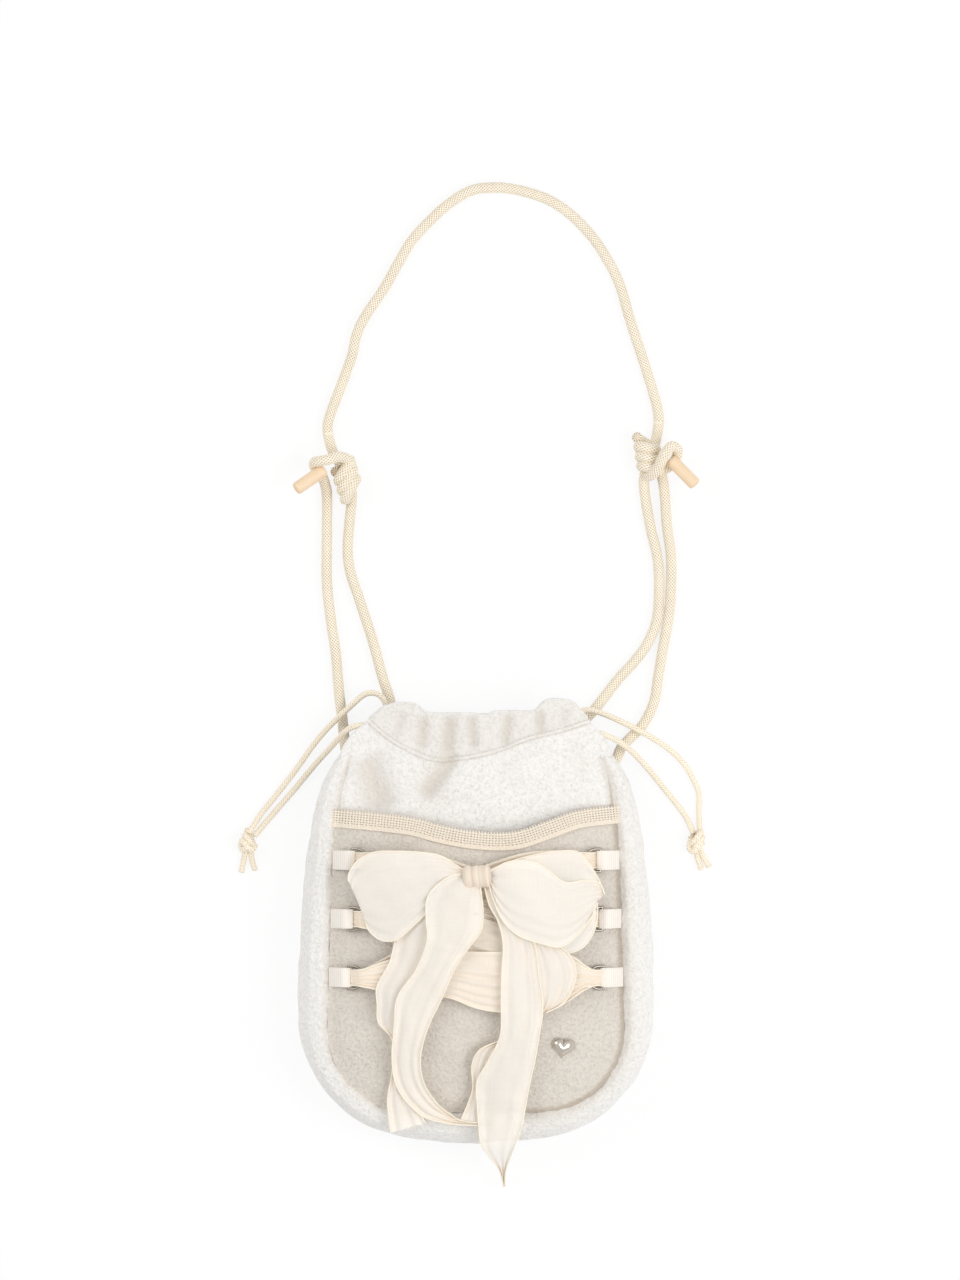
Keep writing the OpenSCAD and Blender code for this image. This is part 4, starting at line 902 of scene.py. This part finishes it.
# Ribbon: one long sheer organza ribbon with a corded edge on both sides, about 40 mm wide. It laces through
# the six rings, then ties in a bow with two loops and two tails that lie over the pocket.
organza, organza_shader, place = finish("organza", Roughness=0.55, Sheen_Weight=0.35, Sheen_Roughness=0.4)
cord_layer_and_shade_share = place.attribute("skin")
warp = place.node("Mapping", {}, {"Vector": place, "Scale": (2600.0, 140.0, 140.0)})
weft = place.node("Mapping", {}, {"Vector": place, "Scale": (140.0, 2600.0, 140.0)})
weave = (warp.noise(1.0, 1) + weft.noise(1.0, 1)) * 0.5
(weave * 0.12 + 0.66 + cord_layer_and_shade_share * 0.6).maths("MINIMUM", 1.0).into(organza_shader, "Alpha")
# Painted shade: the organza turns from ivory to beige as its skin value rises, in pleat valleys, near the
# knot and rings and on the lacing under the bow; layered parts are partly denser cloth.
sheer = (cord_layer_and_shade_share * 2).maths("MINIMUM", 1.0).mix(colour(255, 250, 242), colour(245, 231, 213))
corded = (cord_layer_and_shade_share * 2.5 - 1.5).maths("MAXIMUM", 0.0)
corded.mix(sheer, colour(255, 245, 226)).into(organza_shader, "Base Color")
edge_cord_r, ring_half, roll_top_z, low_seam_y = 0.36, 3.7, 36.0, -84.0


def under_ribbon(x, y):
    """Height of what the ribbon lies on: the pocket and, past the bottom seam, the gusset's roll."""
    pocket = pocket_z(np.clip(x, -60, 60), np.maximum(y, low_seam_y))
    return pocket + (roll_top_z - pocket) * smooth((low_seam_y - y) / 12)


def ribbon(ribs, puff, pleats, gather=0.0, layering_and_shade=0.0):
    """Ribbon between two corded edges; each rib gives both edges' places and heights over the ground."""
    ribs = np.array(ribs, float).reshape(-1, 2, 3)
    rows = through(list(ribs), [8] * (len(ribs) - 1))
    top, low_edge = rows[:, 0], rows[:, 1]
    w = np.linspace(0, 1, 41)[None, :, None]
    sheet = top[:, None] * (1 - w) + low_edge[:, None] * w
    width = np.linalg.norm(top[:, :2] - low_edge[:, :2], axis=1)[:, None]
    w = w[..., 0]
    lift = sheet[..., 2] + puff * np.sin(np.pi * w) * np.minimum(1, width / 30)
    folds = np.sin(2 * np.pi * pleats * (w + 0.06 * np.sin(7 * w)) + 0.6)
    calm = np.minimum(1, width / 20) if layering_and_shade else 1.0
    lift = lift + calm * (0.8 * folds * np.exp(-width / 36) + 0.35 * lumps(sheet[..., 0], sheet[..., 1], 8))
    lift = lift + calm * 0.5 * lumps(sheet[..., 0] + 7, sheet[..., 1] * 0.6, 15)
    lift = lift + gather * np.sin(2 * np.pi * pleats * w) * np.minimum(1, width / 22)
    sheet[..., 2] = under_ribbon(sheet[..., 0], sheet[..., 1]) + lift
    # Beige share of the cloth: painted shade in pleat valleys and where the ribbon narrows near the knot and
    # rings, a denser colour from the layering value that is partly painted shade, and a little uneven tone.
    thick = layering_and_shade + 0.45 * np.exp(-width / 7) + (0.1 - 0.15 * folds) * np.exp(-width / 15)
    thick = thick + 0.06 * (1 + lumps(sheet[..., 0] + 7, sheet[..., 1] * 0.6, 9))
    cloth = cloth_grid(sheet, np.clip(thick, 0, 0.6), (0, 0, -200))
    cords = [thread(sheet[:, k] + np.array([0, 0, 0.15]), edge_cord_r) for k in (0, -1)]
    return joined(cloth, *((points, faces, np.ones(len(points))) for points, faces, _ in cords))


left_loop = [
    (-5, 26.3, 10.4, -5, 20.8, 10.4), (-10.5, 29.5, 11.2, -11, 17.5, 11), (-17, 33.6, 12, -19, 10.5, 11.6),
    (-26, 35.3, 12.6, -28, 2, 12), (-38, 35.8, 12.6, -38, -7, 11.8), (-49, 35.4, 12, -45.5, -8.4, 11),
    (-57.5, 31.8, 11, -51, -5.4, 10), (-62.6, 25, 9.6, -53.8, -1.5, 9), (-62, 20.5, 8.4, -54.2, 3, 8),
    (-54, 28.5, 7.8, -49.5, -1, 7.6), (-42, 33.6, 7.4, -40, -3.5, 7.4), (-28, 33.8, 7.4, -27, 4.5, 7.4),
    (-16, 31, 7.8, -16, 13, 7.6), (-5, 25.5, 8.6, -5, 21.2, 8.6)]
right_loop = [
    (6, 26, 10.4, 6, 20.5, 10.4), (10.4, 28.2, 11.2, 9.5, 9.5, 11), (15.5, 30.6, 12, 14, 0.8, 11.6),
    (22, 31.4, 12.6, 21, -5.6, 12), (29.5, 30.2, 12.6, 31, -9.2, 11.8), (36.5, 25.8, 12, 40.5, -11.4, 11),
    (44, 20.6, 11.2, 47, -8.4, 10.4), (53, 21.2, 10.4, 52.6, -3, 9.8), (61, 20, 10, 57.5, 4.2, 9.4),
    (63.4, 14.2, 9.4, 59.6, 10.4, 9.2), (60.5, 22, 8.8, 60, 4, 8.4), (54.5, 31.5, 9.4, 58, -4.6, 8.2),
    (49.5, 35.6, 8.8, 52.5, -12, 7.8), (40, 35.8, 7.4, 43, -14.5, 7.4), (30, 34.2, 7.4, 30, -10, 7.4),
    (20, 31.8, 7.4, 19, -1, 7.4), (12, 28.6, 7.8, 12, 10, 7.8), (6, 25.6, 8.6, 6, 20.6, 8.6)]
left_tail = [
    (-5, 25.5, 10.5, 2, 19.5, 10.5), (-15, 22.5, 13, 2.8, 13.6, 12.6), (-23.5, 14, 14.2, 3.5, 6.5, 13),
    (-24.5, 3, 14.4, 2.5, -3, 12.6), (-24, -8, 13.4, -3.5, -11.5, 11.6),
    (-29.4, -22.4, 11.4, -10.4, -22, 10.4), (-38.6, -36, 9.8, -17, -37, 9.2),
    (-40.2, -50, 8.8, -24, -52, 8.4), (-41.4, -68, 8, -27.4, -66, 7.8), (-38.4, -82, 7.4, -26, -78, 7.4),
    (-28, -94.4, 6.8, -20.5, -87.6, 7), (-15, -99, 6.4, -13, -94.4, 6.6), (2, -100.2, 6, -6, -98, 6.2),
    (10, -100.6, 5.8, 9, -99.6, 5.8)]
left_under = [
    (-23, 15, 11.6, -12, 12, 11.6), (-27, 5, 11.2, -12, 2, 11), (-38, -3.3, 9.6, -17, -8, 10),
    (-42.4, -18.7, 8.6, -22, -20, 8.8), (-48.8, -31, 8.2, -28, -33, 8), (-48.7, -40, 7.4, -32, -42, 7.2),
    (-48.2, -49, 5.2, -35, -50, 6.4), (-42, -56, 5, -37, -58, 6), (-40.6, -64, 4.8, -38, -63, 6),
    (-41.6, -75, 4.8, -36, -76, 6), (-43.7, -88, 5, -31, -88, 6), (-42.2, -104, 3.6, -25, -99, 5.6)]
right_tail = [
    (4, 19, 9.4, 9, 20, 9.4), (6.5, 9.5, 9.8, 16, 8, 9.8), (11, 1, 9.6, 25, -4, 9),
    (13.4, -10.3, 9.6, 29.5, -12, 8.8), (12.7, -25, 9.6, 31, -25, 8.8), (12.5, -40, 9.2, 33, -40.5, 8.4),
    (12, -55, 8.4, 31.2, -55, 7.6), (6, -68, 7.8, 29.2, -67, 7.2), (0.6, -78, 7.6, 26.7, -78.6, 7),
    (0.6, -90, 7.6, 24.4, -91, 7), (1.4, -100, 7, 22.5, -101, 6.6), (3, -111, 2, 18.6, -112, 0),
    (11, -123, -22, 15, -123.5, -22), (13.8, -133, -30.5, 14.4, -132.6, -30.5)]
right_lobe = [
    (29, -8, 9, 33, -7.2, 9), (29.5, -13, 8.8, 40, -10.4, 8.6), (30.4, -20, 8.6, 46.4, -15.6, 8.2),
    (31, -27, 8.4, 49.4, -23.5, 8.2), (31.6, -33, 8.2, 47.8, -31.6, 7.8), (32, -39, 7.8, 42.8, -39.6, 7),
    (32, -43, 7.2, 34.4, -44, 6.4)]
tail_turn = [
    (-7.4, -97.4, 5.4, 6, -99.4, 5.2), (-4.2, -90, 5, 7, -91, 5), (-1.6, -81.5, 5, 8, -82, 5),
    (-2, -70, 5.2, 9, -71, 5), (2, -62.2, 5.6, 11, -63, 5.4), (12, -57.6, 6, 14, -60, 5.8)]
bottom_lace = [
    (-62, -23.3, 3.2, -62, -30.7, 3.2), (-60, -23.3, 5.4, -60, -30.7, 5.4),
    (-57.4, -23.2, 7.8, -57.4, -31, 7.8), (-52.5, -21.5, 7.6, -52, -32, 7.4),
    (-42, -17.8, 6.4, -41, -33.8, 6), (-28, -15, 6.4, -27, -35, 6), (-12, -14, 6.4, -13, -36.5, 6),
    (4, -14, 6.4, 2, -42, 5.6), (20, -14, 6.4, 20, -44, 5.4), (36, -14.2, 6.4, 36, -43, 5.4),
    (47, -16, 6.4, 46, -38, 5.8), (53.5, -20.5, 7.6, 53.2, -33, 7.4), (57.8, -23, 7.8, 57.8, -31, 7.8),
    (60.4, -23.3, 5.4, 60.4, -30.7, 5.4), (62.5, -23.3, 3.2, 62.5, -30.7, 3.2)]


def crossing(low_x, low_y, high_x, high_y, lift, half_width):
    """Lacing from one ring up and across to a ring on the other side."""
    start = [(0, 0, 1.6), (0.014, 0, 3.6), (0.03, 0.02, 6.4), (0.065, 0.08, 6.6), (0.13, 0.35, 4.0),
             (0.3, 0.9, lift)]
    end = [(1 - t, spread, up) for t, spread, up in start[::-1]]
    ribs = []
    for t, spread, up in start + [(0.5, 1, lift)] + end:
        x, y = low_x + (high_x - low_x) * t, low_y + (high_y - low_y) * smooth(t)
        half = ring_half + (half_width - ring_half) * spread
        up = up + (lift - 3) * (spread < 0.5)
        ribs.append((x, y + half, up, x, y - half, up))
    return ribbon(ribs, 0.3, 5, 0.55, 0.3)


crossings = [crossing(-61.8, -27, 61, 2, 3.0, 16), crossing(61.5, -27, -60.5, 2, 3.8, 16),
             crossing(-60.5, 2, 60, 31, 3.0, 10.5), crossing(60.5, 2, -60, 31, 3.8, 10.5)]
lacing = joined(ribbon(bottom_lace, 0.6, 6, 0.45, 0.25), *crossings)
whole_left_tail = joined(ribbon(left_tail, 1.2, 3), ribbon(left_under, 0.4, 3), ribbon(tail_turn, 0.2, 3))
whole_right_tail = joined(ribbon(right_tail, 1.0, 3), ribbon(right_lobe, 0.3, 3))
for name, bit, node, flat, held in (
        ("lacing_organza", lacing, "lacing_ribbon", (0.04, 0.59), "gathered"),
        ("bow_loop_left_organza", ribbon(left_loop, 1.6, 5), "bow_loop_left", (0.04, 0.13), "folded"),
        ("bow_loop_right_organza", ribbon(right_loop, 1.6, 5), "bow_loop_right", (0.04, 0.15), "folded"),
        ("bow_tail_left_organza", whole_left_tail, "bow_tail_left", (0.04, 0.19), "laid"),
        ("bow_tail_right_organza", whole_right_tail, "bow_tail_right", (0.04, 0.16), "laid")):
    made = fixed(piece(name, bit, organza), "pouch", "ribbon", node)
wrapped, wrapped_shader, place = finish("organza_layers_with_pleat_shade", Roughness=0.55, Sheen_Weight=0.35)
# Painted shade: the knot is darker in its pleat valleys and towards both ends.
pleat_shade = place.attribute("skin")
pleat_shade.mix(colour(222, 203, 182), colour(244, 231, 215)).into(wrapped_shader, "Base Color")
knot_x, knot_y, knot_z, knot_half, knot_r = 0.4, 23.4, 59.8, 7.3, 4.9
t, around = np.meshgrid(np.linspace(-1, 1, 91), np.linspace(0, 2 * np.pi, 65), indexing="ij")
lean = t + 0.1 * np.cos(around - 0.7)
pleat = 0.5 + 0.25 * np.sin(9.1 * lean + 0.8) + 0.16 * np.sin(15.7 * lean + 2.1) + 0.09 * np.sin(27 * lean)
waist = (1 - 0.6 * np.abs(t) ** 8) * (1 + 0.1 * t ** 2)
r = knot_r * waist * (0.94 + 0.1 * pleat) * (1 + 0.05 * np.sin(around + 2 * t))
knot_skin = points_at(knot_x + knot_half * t, knot_y + 1.12 * r * np.cos(around), knot_z + r * np.sin(around))
# Its skin value paints shade into the pleat valleys and towards both ends.
knot_bit = cloth_grid(knot_skin, pleat * (1 - 0.6 * np.abs(t) ** 6), (knot_x, knot_y, knot_z))
fixed(piece("bow_knot_organza", knot_bit, wrapped), "pouch", "ribbon", "bow_knot")
